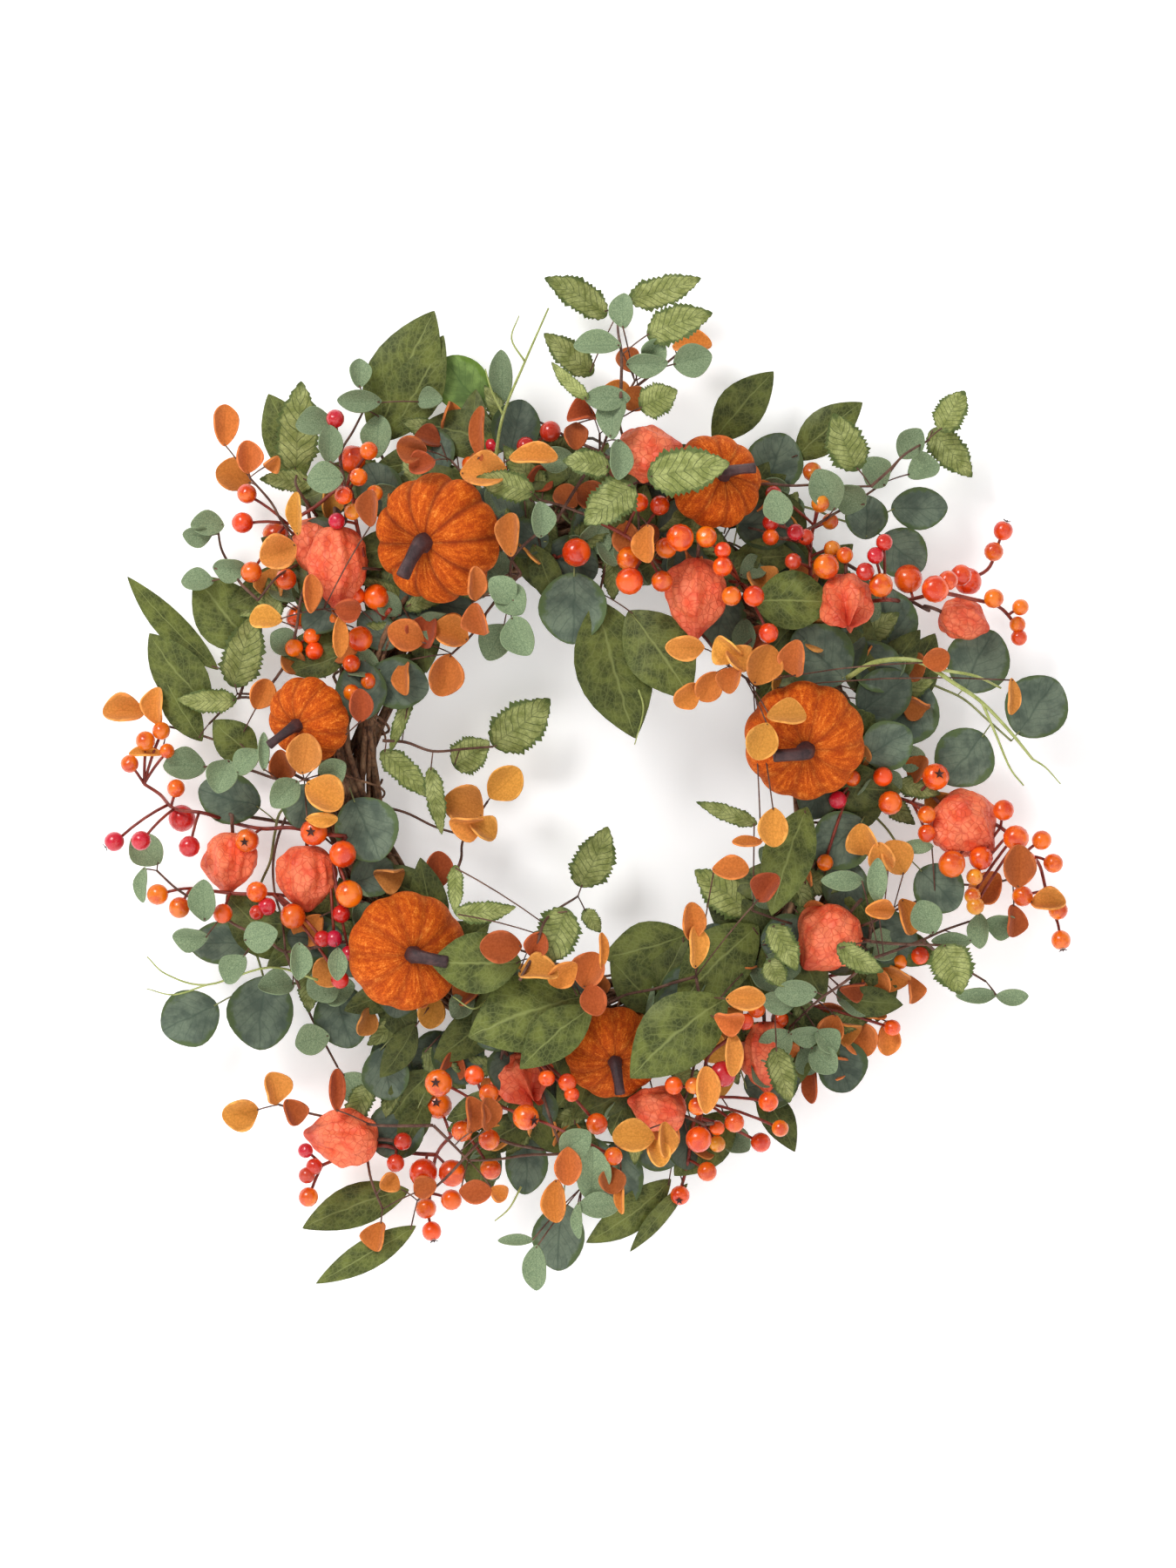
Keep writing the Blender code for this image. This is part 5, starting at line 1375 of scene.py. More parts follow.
def tubes(name: str, routes: Sequence[tuple[Sequence[Vector], float, float]], material: Material,
          sides: int = 2, closed: bool = False, colour: Colour = WHITE) -> Piece:
    """Round stems along several lines, as one mesh.

    Args:
        name: the mesh's name.
        routes: each line's points, and its radius in millimetres at the start and at the end.
        material: the stems' finish.
        sides: roundness of the stems.
        closed: whether each line runs back to its start.
        colour: dye over the finish.

    Returns:
        The mesh object, with its seams and ends closed.
    """
    curve = bpy.data.curves.new(name, "CURVE")
    curve.dimensions = "3D"
    curve.bevel_depth = MM
    curve.bevel_resolution = sides
    curve.use_fill_caps = not closed
    for places, start, end in routes:
        spline = curve.splines.new("POLY")
        spline.points.add(len(places) - 1)
        spline.use_cyclic_u = closed
        for index, place in enumerate(places):
            spline.points[index].co = (*place, 1.0)
            spline.points[index].radius = start + (end - start) * index / (len(places) - 1)
    line = bpy.data.objects.new(name, curve)
    bpy.context.scene.collection.objects.link(line)
    activate(line)
    bpy.ops.object.convert(target="MESH")
    made = newest()
    merge_and_face_out(made)
    dress(made, material)
    stain(made, colour)
    activate(made)
    bpy.ops.object.shade_smooth()
    return made


# A stem has a knot about every so many millimetres along it, each moved aside by up to the bend
KNOT_SPACING = 20.0
KNOT_BEND = 1.8

# A stem runs this far behind the leaves that it carries, one that only ties others together further still,
# but no closer to the wall than the floor, which is where it runs behind a pumpkin or a lantern, and no
# further forward than the ceiling
STEM_SINK = 17.0
LINK_SINK = 36.0
STEM_FLOOR = 24.0
STEM_CEILING = 72.0
STOUT_PICKS = ("pumpkin", "lantern")


class Stems:
    """The wired stems of one pick, and where twigs can leave them."""

    def __init__(self, lay: Lay, node: str, chains: Sequence[Sequence[Knot]], links: int,
                 seed: int) -> None:
        """Lays the stems at the depth of the CAD node's own stems.

        Args:
            lay: the depths of the CAD pieces.
            node: the CAD node.
            chains: the stems, each a list of knots in millimetres.
            links: how many of the last stems run behind the leaves.
            seed: seed of the small bends.
        """
        draw = random.Random(seed)
        self.routes: list[list[Vector]] = []
        self.places: list[Vector] = []
        self.levels: list[tuple[float, float, float]] = []
        self.sink = 0.0 if node in BODIES else STEM_SINK
        for order, chain in enumerate(chains):
            is_link = order >= len(chains) - links
            behind = LINK_SINK if is_link else self.sink
            knots = []
            for start, end in zip(chain, chain[1:]):
                pieces = max(1, round(math.dist(start, end) / KNOT_SPACING))
                knots.extend([(start[0] + (end[0] - start[0]) * step / pieces,
                               start[1] + (end[1] - start[1]) * step / pieces) for step in range(pieces)])
            knots.append(chain[-1])
            places = []
            for number, (x, z) in enumerate(knots):
                bend = 0.0 if number in (0, len(knots) - 1) else KNOT_BEND
                level = lay.stem_depth(node, x, z) - 1.0
                sunk = level - (0.5 * behind if bend == 0.0 else behind)
                if node not in BODIES:
                    sunk = STEM_FLOOR if self.is_covered(lay, x, z) else min(sunk, STEM_CEILING)
                self.levels.append((x, z, level))
                places.append(point(x + draw.uniform(-bend, bend), z + draw.uniform(-bend, bend),
                                    max(STEM_FLOOR, sunk)))
            route = smooth_route(places)
            self.routes.append(route)
            if not is_link:
                self.places.extend(route)

    def nearest(self, place: Vector) -> Vector:
        """The stem point nearest to a place."""
        return min(self.places, key=lambda spot: (spot - place).length)

    @staticmethod
    def is_covered(lay: Lay, x: float, z: float) -> bool:
        """Whether a pumpkin or a lantern lies at that place."""
        stout = [name for name in lay.trees if name.startswith(STOUT_PICKS)]
        return any(lay.seen(name, x, z)[0] is not None for name in stout)

    def level(self, x: float, z: float) -> float:
        """The depth of the CAD node's stem nearest to a place as seen from the front, millimetres."""
        return min(self.levels, key=lambda knot: (knot[0] - x) ** 2 + (knot[1] - z) ** 2)[2]


# A leaf or a berry closer to its stem than this needs no twig, metres
LEAST_TWIG = 0.002


def twig(start: Vector, end: Vector, sag: float, steps: int = 4) -> list[Vector]:
    """A short bowed twig.

    Args:
        start: where it leaves its stem.
        end: where it ends.
        sag: how far its middle bows, metres.
        steps: stretches along it.

    Returns:
        Its points.
    """
    middle = start.lerp(end, 0.5) + Vector((0.0, -sag, 0.6 * sag))
    line = []
    for step in range(steps + 1):
        t = step / steps
        line.append(start.lerp(middle, t).lerp(middle.lerp(end, t), t))
    return line


# ---------------------------------------------------------------------------------------------- leaves


@dataclass
class LeafStock:
    """Flat leaves punched from cloth, one pattern for each kind, that the sprays copy and form."""

    along: int = 14
    across: int = 6
    toothed_along: int = 48
    patterns: dict[Kind, Piece] = field(default_factory=dict)

    def pattern(self, kind: Kind) -> Piece:
        """The flat pattern of a kind, one long and one wide, its middle at the origin.

        Args:
            kind: the kind of leaf.

        Returns:
            The pattern's object.
        """
        if kind in self.patterns:
            return self.patterns[kind]
        species = kind.value
        columns = self.toothed_along if species.teeth else self.along
        deselect()
        bpy.ops.mesh.primitive_grid_add(x_subdivisions=columns, y_subdivisions=self.across, size=1.0)
        flat = newest()
        rows = get_points(flat)
        u = 0.5 - 0.5 * np.cos(np.pi * (rows[:, 0] + 0.5))
        v = rows[:, 1] * 2.0
        half = 0.5 * np.sin(np.pi * np.clip(u, 0.0, 1.0) ** species.skew).clip(0.0) ** species.fullness
        if species.teeth:
            saw = (u * species.teeth) % 1.0
            half = half * (1.0 - species.tooth * saw * (np.abs(v) > 0.9) * (half > 0.08) * 1.6)
        rows[:, 0] = u - 0.5
        rows[:, 1] = v * half
        set_points(flat, rows)
        chart = flat.data.uv_layers.active or flat.data.uv_layers.new(name="UVMap")
        chart.name = "UVMap"
        for loop in flat.data.loops:
            place = rows[loop.vertex_index]
            chart.data[loop.index].uv = (place[0] + 0.5, 0.5 + v[loop.vertex_index] * 0.5)
        merge_and_face_out(flat, 1e-5)
        flat.name = f"pattern_{kind.name.lower()}"
        self.patterns[kind] = flat
        return flat

    def clear(self) -> None:
        """Removes the patterns once every leaf is cut."""
        for pattern in self.patterns.values():
            drop(pattern)

    def formed(self, kind: Kind, length: float, width: float, place: Vector, turn: Matrix, colour: Colour,
               draw: random.Random) -> Piece:
        """A leaf cut from the pattern, cupped, folded, arched and laid in its place.

        Args:
            kind: the kind of leaf.
            length: its length, metres.
            width: its width, metres.
            place: its middle.
            turn: the turn that lays its length along its heading and its face to the front.
            colour: dye over its finish.
            draw: the spray's random draws.

        Returns:
            The leaf.
        """
        species = kind.value
        leaf = copy_of(self.pattern(kind), "leaf")
        rows = get_points(leaf)
        x = rows[:, 0] * 2.0
        widest = max(1e-6, float(np.abs(rows[:, 1]).max()))
        y = rows[:, 1] / widest
        phase = draw.uniform(0.0, ANY_PHASE)
        cup = species.cup * draw.uniform(0.5, 1.4)
        fold = species.fold * draw.uniform(0.5, 1.3)
        arch = species.arch * draw.uniform(0.3, 1.5)
        lift = cup * y ** 2 * width - fold * (1.0 - np.abs(y)) * width * 0.5
        lift = lift - arch * x ** 2 * length * 0.5
        lift = lift + species.wave * np.sin(5.0 * x + phase) * np.sign(y) * np.abs(y) ** 1.5 * width
        curl = draw.uniform(-0.12, 0.12)
        rows[:, 1] = rows[:, 1] * width + curl * (x ** 2 - 0.3) * length * 0.35
        rows[:, 0] = rows[:, 0] * length
        rows[:, 2] = lift
        set_points(leaf, rows)
        leaf.data.transform(Matrix.Translation(place) @ turn)
        stain(leaf, colour)
        return leaf


def facing(heading: float, normal: Optional[Vector], pitch: float, roll: float) -> Matrix:
    """The turn of a leaf whose length runs along a heading.

    Args:
        heading: degrees from the right, upwards.
        normal: the way its face looks, or None for pitch and roll.
        pitch: degrees that its tip rises where no normal is given.
        roll: degrees that one side rises where no normal is given.

    Returns:
        The turn as a 4 by 4 matrix.
    """
    turn = math.radians(heading)
    along = Vector((math.cos(turn), 0.0, math.sin(turn)))
    if normal is not None:
        out = normal.normalized()
        along = (along - out * along.dot(out)).normalized()
        across = out.cross(along)
        return Matrix((along, across, out)).transposed().to_4x4()
    across = Vector((-math.sin(turn), 0.0, math.cos(turn)))
    flat = Matrix((along, across, along.cross(across))).transposed().to_4x4()
    lift = Matrix.Rotation(-math.radians(pitch), 4, "Y")
    return flat @ lift @ Matrix.Rotation(math.radians(roll), 4, "X")


# The share of a leaf's length from its middle to where its twig meets it
FOOT_SHARE = 0.46


def leaf_foot(place: Vector, turn: Matrix, length: float, sink: float) -> Vector:
    """Where a leaf's twig meets it.

    Args:
        place: the leaf's middle.
        turn: the leaf's turn.
        length: its length, millimetres.
        sink: how far behind the leaf's face its twig ends, metres.

    Returns:
        The place.
    """
    return place + turn.to_3x3() @ Vector((-FOOT_SHARE * length * MM, 0.0, -sink))


@dataclass(frozen=True)
class Wood:
    """The stems and twigs that carry some leaves: each route's points, and its radius at either end."""

    name: str
    routes: Sequence[tuple[Sequence[Vector], float, float]]
    sides: int = 2


def bound(leaves: list[Piece], wood: Wood, species: Species, palette: Palette,
          name: str) -> Piece:
    """Leaves with their cloth's thickness and finish, joined to the wood that carries them.

    Args:
        leaves: the formed leaves.
        wood: their stems and twigs.
        species: their kind.
        palette: the materials.
        name: the joined piece's name.

    Returns:
        The joined piece.
    """
    cloth = join(leaves, f"{name}_cloth")
    dress(cloth, palette[species.finish])
    thicken(cloth, species.thickness * MM)
    bpy.ops.object.shade_smooth_by_angle(angle=math.radians(LEAF_CREASE))
    return join([cloth, tubes(wood.name, wood.routes, palette[species.twig], wood.sides)], name)


@dataclass
class LeafSprays:
    """Every pick of leaves, one piece each."""

    sprays: Sequence[Spray]
    lay: Lay
    palette: Palette
    stock: LeafStock
    stem_radius: float = 1.15
    petiole_radius: float = 0.55
    face_on: float = 0.75
    over: float = 2.5
    reach: float = 16.0
    lift: float = 0.6
    fuller: float = 1.04

    def build(self) -> None:
        """Makes and dresses every spray."""
        for number, spray in enumerate(self.sprays):
            self.make(spray, number)

    def depth_of(self, spray: Spray, leaf: Leaf, stems: Stems) -> tuple[float, Optional[Vector]]:
        """Where a leaf lies and which way it looks.

        Args:
            spray: its pick.
            leaf: the leaf.
            stems: the pick's stems.

        Returns:
            Its depth in millimetres, and its face's normal where the CAD has this leaf.
        """
        x, z = leaf[0], leaf[1]
        depth, normal = self.lay.seen(spray.name, x, z)
        level = stems.level(x, z)
        under = self.lay.front(x, z) + self.over
        if len(leaf) > 5 and leaf[5] == IN_FRONT:
            return max(under, level + self.reach), None
        if depth is not None and -normal.y > self.face_on:
            return depth, normal
        if spray.name in BODIES:
            return level + self.over, None
        return min(max(level + self.over, under), level + self.reach), None

    def make(self, spray: Spray, number: int) -> None:
        """Makes one spray.

        Args:
            spray: its layout.
            number: its number, which seeds its draws.
        """
        species = spray.kind.value
        draw = random.Random(100 + number)
        stems = Stems(self.lay, spray.name, spray.stems, spray.links, number)
        leaves = []
        routes = [(route, self.stem_radius, 0.7 * self.stem_radius) for route in stems.routes]
        for leaf in spray.leaves:
            x, z, heading, length, width = leaf[:5]
            depth, normal = self.depth_of(spray, leaf, stems)
            turn = facing(heading, normal, species.pitch * draw.uniform(-0.4, 1.2),
                          species.roll * draw.uniform(-1.2, 1.2))
            base = LEAF_DYES[leaf[5]] if len(leaf) > 5 else WHITE
            lighter = 1.0 + species.lighter * draw.uniform(-1.0, 1.0)
            colour = shifted(base, draw.uniform(-0.008, 0.008), lighter)
            place = point(x, z, depth + self.lift)
            cut = self.fuller * length * MM
            leaves.append(self.stock.formed(spray.kind, cut, width * MM, place, turn, colour, draw))
            foot = leaf_foot(place, turn, length, 0.0008)
            root = stems.nearest(foot)
            if (root - foot).length > LEAST_TWIG:
                routes.append((twig(root, foot, 0.08 * (root - foot).length), 0.8 * self.petiole_radius,
                               self.petiole_radius))
        wood = Wood(f"{spray.name}_wood", routes)
        piece = bound(leaves, wood, species, self.palette, f"{spray.name}_spray")
        finish_piece(piece, BODIES.get(spray.name, "wreath"), [spray.name])


@dataclass
class BackingLeaves:
    """Leaves set close on the ring that fill the gaps behind the picks, one piece for each kind."""

    stock: LeafStock
    palette: Palette
    counts: dict[Kind, tuple[int, float, float]] = field(default_factory=lambda: {
        Kind.LEMON: (130, 44.0, 66.0), Kind.EUCALYPTUS: (72, 32.0, 44.0), Kind.MINT: (96, 30.0, 44.0),
        Kind.SAGE: (80, 20.0, 28.0), Kind.FELT: (84, 19.0, 26.0),
    })
    bare: Sequence[tuple[float, float]] = ((160.0, 204.0), (337.0, 352.0))
    inner: float = 139.0
    outer: Sequence[tuple[float, float]] = ((60.0, 238.0), (100.0, 230.0), (166.0, 268.0), (200.0, 236.0),
                                            (235.0, 256.0), (300.0, 284.0), (332.0, 272.0), (360.0, 246.0))
    inner_depth: float = 34.0
    ring_depth: float = 52.0
    root_depth: float = 46.0
    twig_length: float = 16.0
    narrow: tuple[float, float] = (0.42, 0.6)
    broad: tuple[float, float] = (0.75, 0.98)

    def build(self) -> None:
        """Makes and dresses the leaves of every kind."""
        for number, (kind, (count, short, long)) in enumerate(self.counts.items()):
            self.make(kind, count, short, long, random.Random(900 + number))

    def is_bare(self, around: float) -> bool:
        """Whether the vines show at that angle, in degrees."""
        return any(low < around % 360.0 < high for low, high in self.bare)

    def outer_at(self, around: float) -> float:
        """How far out the leaves reach at that angle, in millimetres from the ring's centre."""
        return next(reach for end, reach in self.outer if around % 360.0 <= end)

    def make(self, kind: Kind, count: int, short: float, long: float, draw: random.Random) -> None:
        """Makes the leaves of one kind.

        Args:
            kind: the kind of leaf.
            count: how many places are tried.
            short: the least length, millimetres.
            long: the greatest length, millimetres.
            draw: the kind's random draws.
        """
        species = kind.value
        leaves = []
        routes = []
        for index in range(count):
            around = 360.0 * (index + draw.uniform(-0.4, 0.4)) / count
            outer = self.outer_at(around)
            reach = draw.uniform(self.inner, outer)
            length = draw.uniform(short, long)
            shape = draw.uniform(*(self.narrow if kind in (Kind.LEMON, Kind.MINT) else self.broad))
            outward = around if reach > RING_RADIUS else around + 180.0
            heading = outward + draw.uniform(-75.0, 75.0)
            level = draw.uniform(0.0, 8.0)
            if self.is_bare(around):
                continue
            off_ring = abs(reach - RING_RADIUS) / (outer - RING_RADIUS)
            depth = self.ring_depth - (self.ring_depth - self.inner_depth) * min(1.0, off_ring) ** 2 + level
            turn = math.radians(around)
            place = point(reach * math.cos(turn), reach * math.sin(turn), depth)
            pitch = species.pitch * draw.uniform(-1.0, 1.0)
            lie = facing(heading, None, pitch, species.roll * draw.uniform(-1.4, 1.4))
            base = LEAF_DYES[draw.choice("MOOD")] if kind is Kind.FELT else WHITE
            # Painted shade: each backing leaf is darkened by a random share, as if shaded by the picks in
            # front.
            colour = shifted(base, draw.uniform(-0.01, 0.01), draw.uniform(0.62, 0.94))
            width = shape * length
            leaves.append(self.stock.formed(kind, length * MM, width * MM, place, lie, colour, draw))
            foot = leaf_foot(place, lie, length, 0.0006)
            root = point(RING_RADIUS * math.cos(turn), RING_RADIUS * math.sin(turn), self.root_depth)
            away = root - foot
            root = foot + away.normalized() * min(away.length, self.twig_length * MM)
            routes.append((twig(root, foot, 0.001), 0.6, 0.5))
        wood = Wood("backing_wood", routes, sides=1)
        piece = bound(leaves, wood, species, self.palette, f"backing_{kind.name.lower()}_leaves")
        finish_piece(piece, "wreath")


@dataclass
class Tendrils:
    """Pale stems and tendrils that curl out of the leaves: each a radius and its (x, z, depth) in mm."""

    palette: Palette
    curls: tuple = (
        (1.2, ((-64, 212, 74), (-58, 245, 80), (-43, 281, 84), (-27, 318, 80))),
        (0.9, ((-58, 245, 80), (-66, 262, 84), (-70, 276, 84))),
        (0.8, ((-43, 281, 84), (-52, 296, 88), (-47, 312, 86))),
        (0.9, ((-186, -142, 60), (-219, -133, 66), (-262, -145, 66), (-290, -138, 62), (-304, -126, 58))),
        (0.7, ((-262, -145, 66), (-285, -152, 62), (-304, -148, 60))),
        (0.8, ((34, 60, 66), (38, 44, 70), (32, 20, 66))),
        (1.9, ((178, 66, 70), (196, 76, 92), (223, 76, 104), (247, 61, 108), (266, 48, 108), (286, 28, 102),
               (302, 10, 92))),
        (1.4, ((223, 76, 104), (240, 70, 108), (262, 66, 104), (280, 58, 98))),
        (1.1, ((266, 48, 108), (276, 26, 104), (286, 4, 98), (296, -8, 92))),
        (0.8, ((302, 10, 92), (312, 4, 86), (323, -7, 78))),
        (0.8, ((-46, -284, 64), (-54, -298, 70), (-64, -307, 68))),
        (0.9, ((-46, -140, 62), (-66, -152, 84), (-78, -160, 88), (-92, -152, 84))),
    )

    def build(self) -> None:
        """Makes and dresses the stems and tendrils."""
        routes = [(smooth_route([point(*knot) for knot in knots]), radius, 0.5 * radius)
                  for radius, knots in self.curls]
        piece = tubes("pale_tendrils", routes, self.palette["pale_tendril"])
        finish_piece(piece, "wreath")


# ---------------------------------------------------------------------------------------------- berries


@dataclass
class BerryPicks:
    """Every pick of berries, one piece each."""

    picks: Sequence[BerryPick]
    lay: Lay
    palette: Palette
    segments: int = 14
    rings: int = 9
    dimple: float = 0.16
    taller: float = 1.04
    crown_points: int = 5
    crown_waist: float = 0.36
    crown_cup: float = 0.3
    seen_share: float = 0.8
    fuller: float = 1.05
    stem_radius: float = 1.5
    twig_radius: float = 1.05
    reach: float = 18.0
    star_size: float = 0.42
    crown_size: float = 0.46

    def ball(self) -> Piece:
        """A berry one in radius, dimpled at its blossom end, which is up.

        Returns:
            The berry.
        """
        deselect()
        bpy.ops.mesh.primitive_uv_sphere_add(segments=self.segments, ring_count=self.rings, radius=1.0)
        ball = newest()
        rows = get_points(ball)
        out = np.hypot(rows[:, 0], rows[:, 1])
        rows[:, 2] *= self.taller - self.dimple * (1.0 - out).clip(0.0) ** 2 * (rows[:, 2] > 0.0)
        set_points(ball, rows)
        ball.name = "ball"
        return ball

    def calyx(self) -> Piece:
        """A small dry crown: five points round a hub, cupped forward.

        Returns:
            The crown, about one in radius.
        """
        deselect()
        bpy.ops.mesh.primitive_circle_add(vertices=2 * self.crown_points, radius=1.0, fill_type="TRIFAN")
        crown = newest()
        rows = get_points(crown)
        for index, (x, y, _) in enumerate(rows):
            turn = math.atan2(x, y) / math.pi
            inner = round(turn * self.crown_points) % 2
            share = self.crown_waist if inner else 1.0
            if math.hypot(x, y) > 0.5:
                rows[index] = (x * share, y * share, self.crown_cup * share)
        set_points(crown, rows)
        thicken(crown, CALYX_THICKNESS)
        crown.name = "calyx"
        return crown

    def build(self) -> None:
        """Makes and dresses every pick."""
        ball = self.ball()
        crown = self.calyx()
        for number, pick in enumerate(self.picks):
            self.make(pick, number, ball, crown)
        drop(ball)
        drop(crown)

    def centre(self, pick: BerryPick, berry: Berry, stems: Stems) -> Vector:
        """Where a berry sits.

        Args:
            pick: its pick.
            berry: the berry.
            stems: the pick's stems.

        Returns:
            Its centre.
        """
        x, z, radius = berry[:3]
        depth, _ = self.lay.seen(pick.name, x, z)
        aside = self.seen_share * radius
        side, _ = self.lay.seen(pick.name, x + aside, z)
        other, _ = self.lay.seen(pick.name, x - aside, z)
        if depth is not None and side is not None and other is not None:
            return point(x, z, depth - radius)
        level = stems.level(x, z)
        under = self.lay.front(x, z) + 0.5 * radius
        return point(x, z, min(max(level, under), level + self.reach))

    def make(self, pick: BerryPick, number: int, ball: Piece, crown: Piece) -> None:
        """Makes one pick.

        Args:
            pick: its layout.
            number: its number, which seeds its draws.
            ball: the berry to copy.
            crown: the dry crown to copy.
        """
        draw = random.Random(300 + number)
        stems = Stems(self.lay, pick.name, pick.stems, pick.links, 50 + number)
        routes = [(route, self.stem_radius, 0.8 * self.stem_radius) for route in stems.routes]
        balls = []
        crowns = []
        for berry in pick.berries:
            x, z, radius, letters = berry
            radius *= self.fuller
            centre = self.centre(pick, berry, stems)
            root = stems.nearest(centre)
            away = centre - root
            away = away.normalized() if away.length > 0.001 else Vector((0.0, -1.0, 0.0))
            towards = away if "C" in letters else (away + Vector((0.0, -0.8, 0.0))).normalized()
            if "S" in letters:
                towards = (Vector((0.0, -1.0, 0.0)) + 0.35 * away).normalized()
            turn = towards.to_track_quat("Z", "Y").to_matrix().to_4x4()
            fruit = copy_of(ball, "berry")
            fruit.data.transform(Matrix.Translation(centre) @ turn @ Matrix.Scale(radius * MM, 4))
            base = BERRY_DYES.get(letters[0], BERRY_DYES["O"])
            stain(fruit, shifted(base, draw.uniform(-0.012, 0.012), draw.uniform(0.88, 1.1)))
            balls.append(fruit)
            if "C" in letters or "S" in letters:
                size = self.star_size if "S" in letters else self.crown_size
                tip = copy_of(crown, "crown")
                seat = Matrix.Translation(centre + towards * 0.98 * radius * MM)
                tip.data.transform(seat @ turn @ Matrix.Scale(size * radius * MM, 4))
                crowns.append(tip)
            if (centre - root).length > LEAST_TWIG:
                under = centre - towards * 0.8 * radius * MM
                bowed = twig(root, under, 0.12 * (centre - root).length)
                routes.append((bowed, self.twig_radius, self.twig_radius))
        piece = join(balls, pick.name)
        dress(piece, self.palette["berry_glaze"])
        activate(piece)
        bpy.ops.object.shade_smooth()
        parts = [piece, tubes("berry_wood", routes, self.palette["berry_twig"])]
        if crowns:
            calyces = join(crowns, "calyces")
            dress(calyces, self.palette["twig_bark"])
            stain(calyces, CALYX_DYE)
            parts.append(calyces)
        piece = join(parts, f"{pick.name}_pick")
        finish_piece(piece, "wreath", [pick.name])


# ---------------------------------------------------------------------------------------------- pumpkins


@dataclass
class PumpkinPicks:
    """The stuffed velvet pumpkins and their hooked stems."""

    pumpkins: Sequence[Pumpkin]
    palette: Palette
    ribs: int = 10
    segments: int = 80
    rings: int = 36
    front: float = 0.78
    back: float = 0.45
    dimple: float = 0.34
    groove: float = 0.1
    slim: float = 0.975
    pressure: float = 4.0
    frames: int = 20
    swell: float = 0.006
    stem_base: float = 6.8
    stem_tip: float = 4.2
    stem_sides: int = 14
    stem_bend: tuple = ((0.0, 0.0), (9.0, 0.0), (14.5, 0.24), (16.0, 0.52))
    stem_foot: float = 0.62
    held: float = 0.55

    def build(self) -> None:
        """Makes and dresses every pumpkin and stem."""
        for number, pumpkin in enumerate(self.pumpkins):
            self.body(pumpkin, number)
            self.stem(pumpkin, number)

    def axis(self, pumpkin: Pumpkin) -> Vector:
        """The way a pumpkin's crown looks."""
        squat = self.front * pumpkin.radius
        rise = math.sqrt(squat ** 2 - pumpkin.lean_x ** 2 - pumpkin.lean_z ** 2)
        return Vector((pumpkin.lean_x, -rise, pumpkin.lean_z)).normalized()

    def seat(self, pumpkin: Pumpkin) -> Vector:
        """The middle of a pumpkin, from its CAD solid's crown side.

        Args:
            pumpkin: the pumpkin.

        Returns:
            Its middle, metres.
        """
        low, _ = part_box(pumpkin.name)
        axis = self.axis(pumpkin)
        radius = pumpkin.radius * MM
        extent = radius * math.hypot(self.front * 0.93 * axis.y, math.sqrt(1.0 - axis.y ** 2))
        return Vector((point(pumpkin.x, 0.0, 0.0).x, low.y + extent, point(0.0, pumpkin.z, 0.0).z))

    def body(self, pumpkin: Pumpkin, number: int) -> None:
        """Makes a pumpkin: a ribbed ball, puffed out between its seams.

        Args:
            pumpkin: its layout.
            number: its number, which seeds its creases.
        """
        deselect()
        bpy.ops.mesh.primitive_uv_sphere_add(segments=self.segments, ring_count=self.rings, radius=1.0)
        piece = newest()
        piece.name = f"{pumpkin.name}_velvet"
        piece.data.uv_layers.active.name = "UVMap"
        rows = get_points(piece)
        turn = np.arctan2(rows[:, 1], rows[:, 0]) + 0.3 * number
        out = np.hypot(rows[:, 0], rows[:, 1])
        seam = np.abs(np.sin(0.5 * self.ribs * turn)) ** 0.4
        depth = self.groove * (1.0 - seam) * (0.35 + 0.65 * out)
        shrink = (1.0 - depth) * self.slim
        rows[:, 0] *= shrink
        rows[:, 1] *= shrink
        half = np.where(rows[:, 2] > 0.0, self.front, self.back)
        rows[:, 2] *= half * (1.0 - self.dimple * (1.0 - out).clip(0.0) ** 1.6) * (1.0 - 0.5 * depth)
        set_points(piece, rows * pumpkin.radius * MM)
        # Painted shade, kept in the dye attribute: how deep a point lies in a groove or in the hollow round
        # the crown.
        sunk = ((1.0 - seam) ** 1.3 + 0.7 * (1.0 - out).clip(0.0) ** 3).clip(0.0, 1.0)
        layer = piece.data.color_attributes.new("dye", "FLOAT_COLOR", "POINT")
        layer.data.foreach_set("color", np.column_stack([sunk, sunk, sunk, np.ones(len(sunk))]).reshape(-1))
        self.puff(piece, 1.0 - seam)
        middle = self.seat(pumpkin)
        towards = self.axis(pumpkin).to_track_quat("Z", "Y").to_matrix().to_4x4()
        piece.data.transform(Matrix.Translation(middle) @ towards)
        soften(piece)
        bpy.ops.object.shade_smooth()
        piece.data.materials.append(self.palette["crushed_velvet"])
        finish_piece(piece, "wreath", [pumpkin.name])

    def puff(self, piece: Piece, seam: np.ndarray) -> None:
        """Stuffs the velvet: cloth under pressure, held along its seams.

        Args:
            piece: the pumpkin, around the origin.
            seam: how close each point is to a seam, 0 to 1.
        """
        rest = get_points(piece)
        held = piece.vertex_groups.new(name="seams")
        for index in np.nonzero(seam > self.held)[0]:
            held.add([int(index)], 1.0, "REPLACE")
        cloth = piece.modifiers.new("stuffing", "CLOTH")
        cloth.settings.quality = 4
        cloth.settings.mass = 0.2
        cloth.settings.tension_stiffness = 30.0
        cloth.settings.compression_stiffness = 8.0
        cloth.settings.bending_stiffness = 0.6
        cloth.settings.use_pressure = True
        cloth.settings.uniform_pressure_force = self.pressure
        cloth.settings.effector_weights.gravity = 0.0
        cloth.settings.vertex_group_mass = "seams"
        cloth.collision_settings.use_self_collision = False
        cloth.point_cache.frame_start = 1
        cloth.point_cache.frame_end = self.frames
        scene = bpy.context.scene
        for step in range(1, self.frames + 1):
            scene.frame_set(step)
        apply_modifiers(piece)
        scene.frame_set(1)
        moved = get_points(piece) - rest
        far = np.linalg.norm(moved, axis=1)
        share = np.minimum(1.0, self.swell / np.maximum(far, 1e-9))
        set_points(piece, rest + moved * share[:, None])

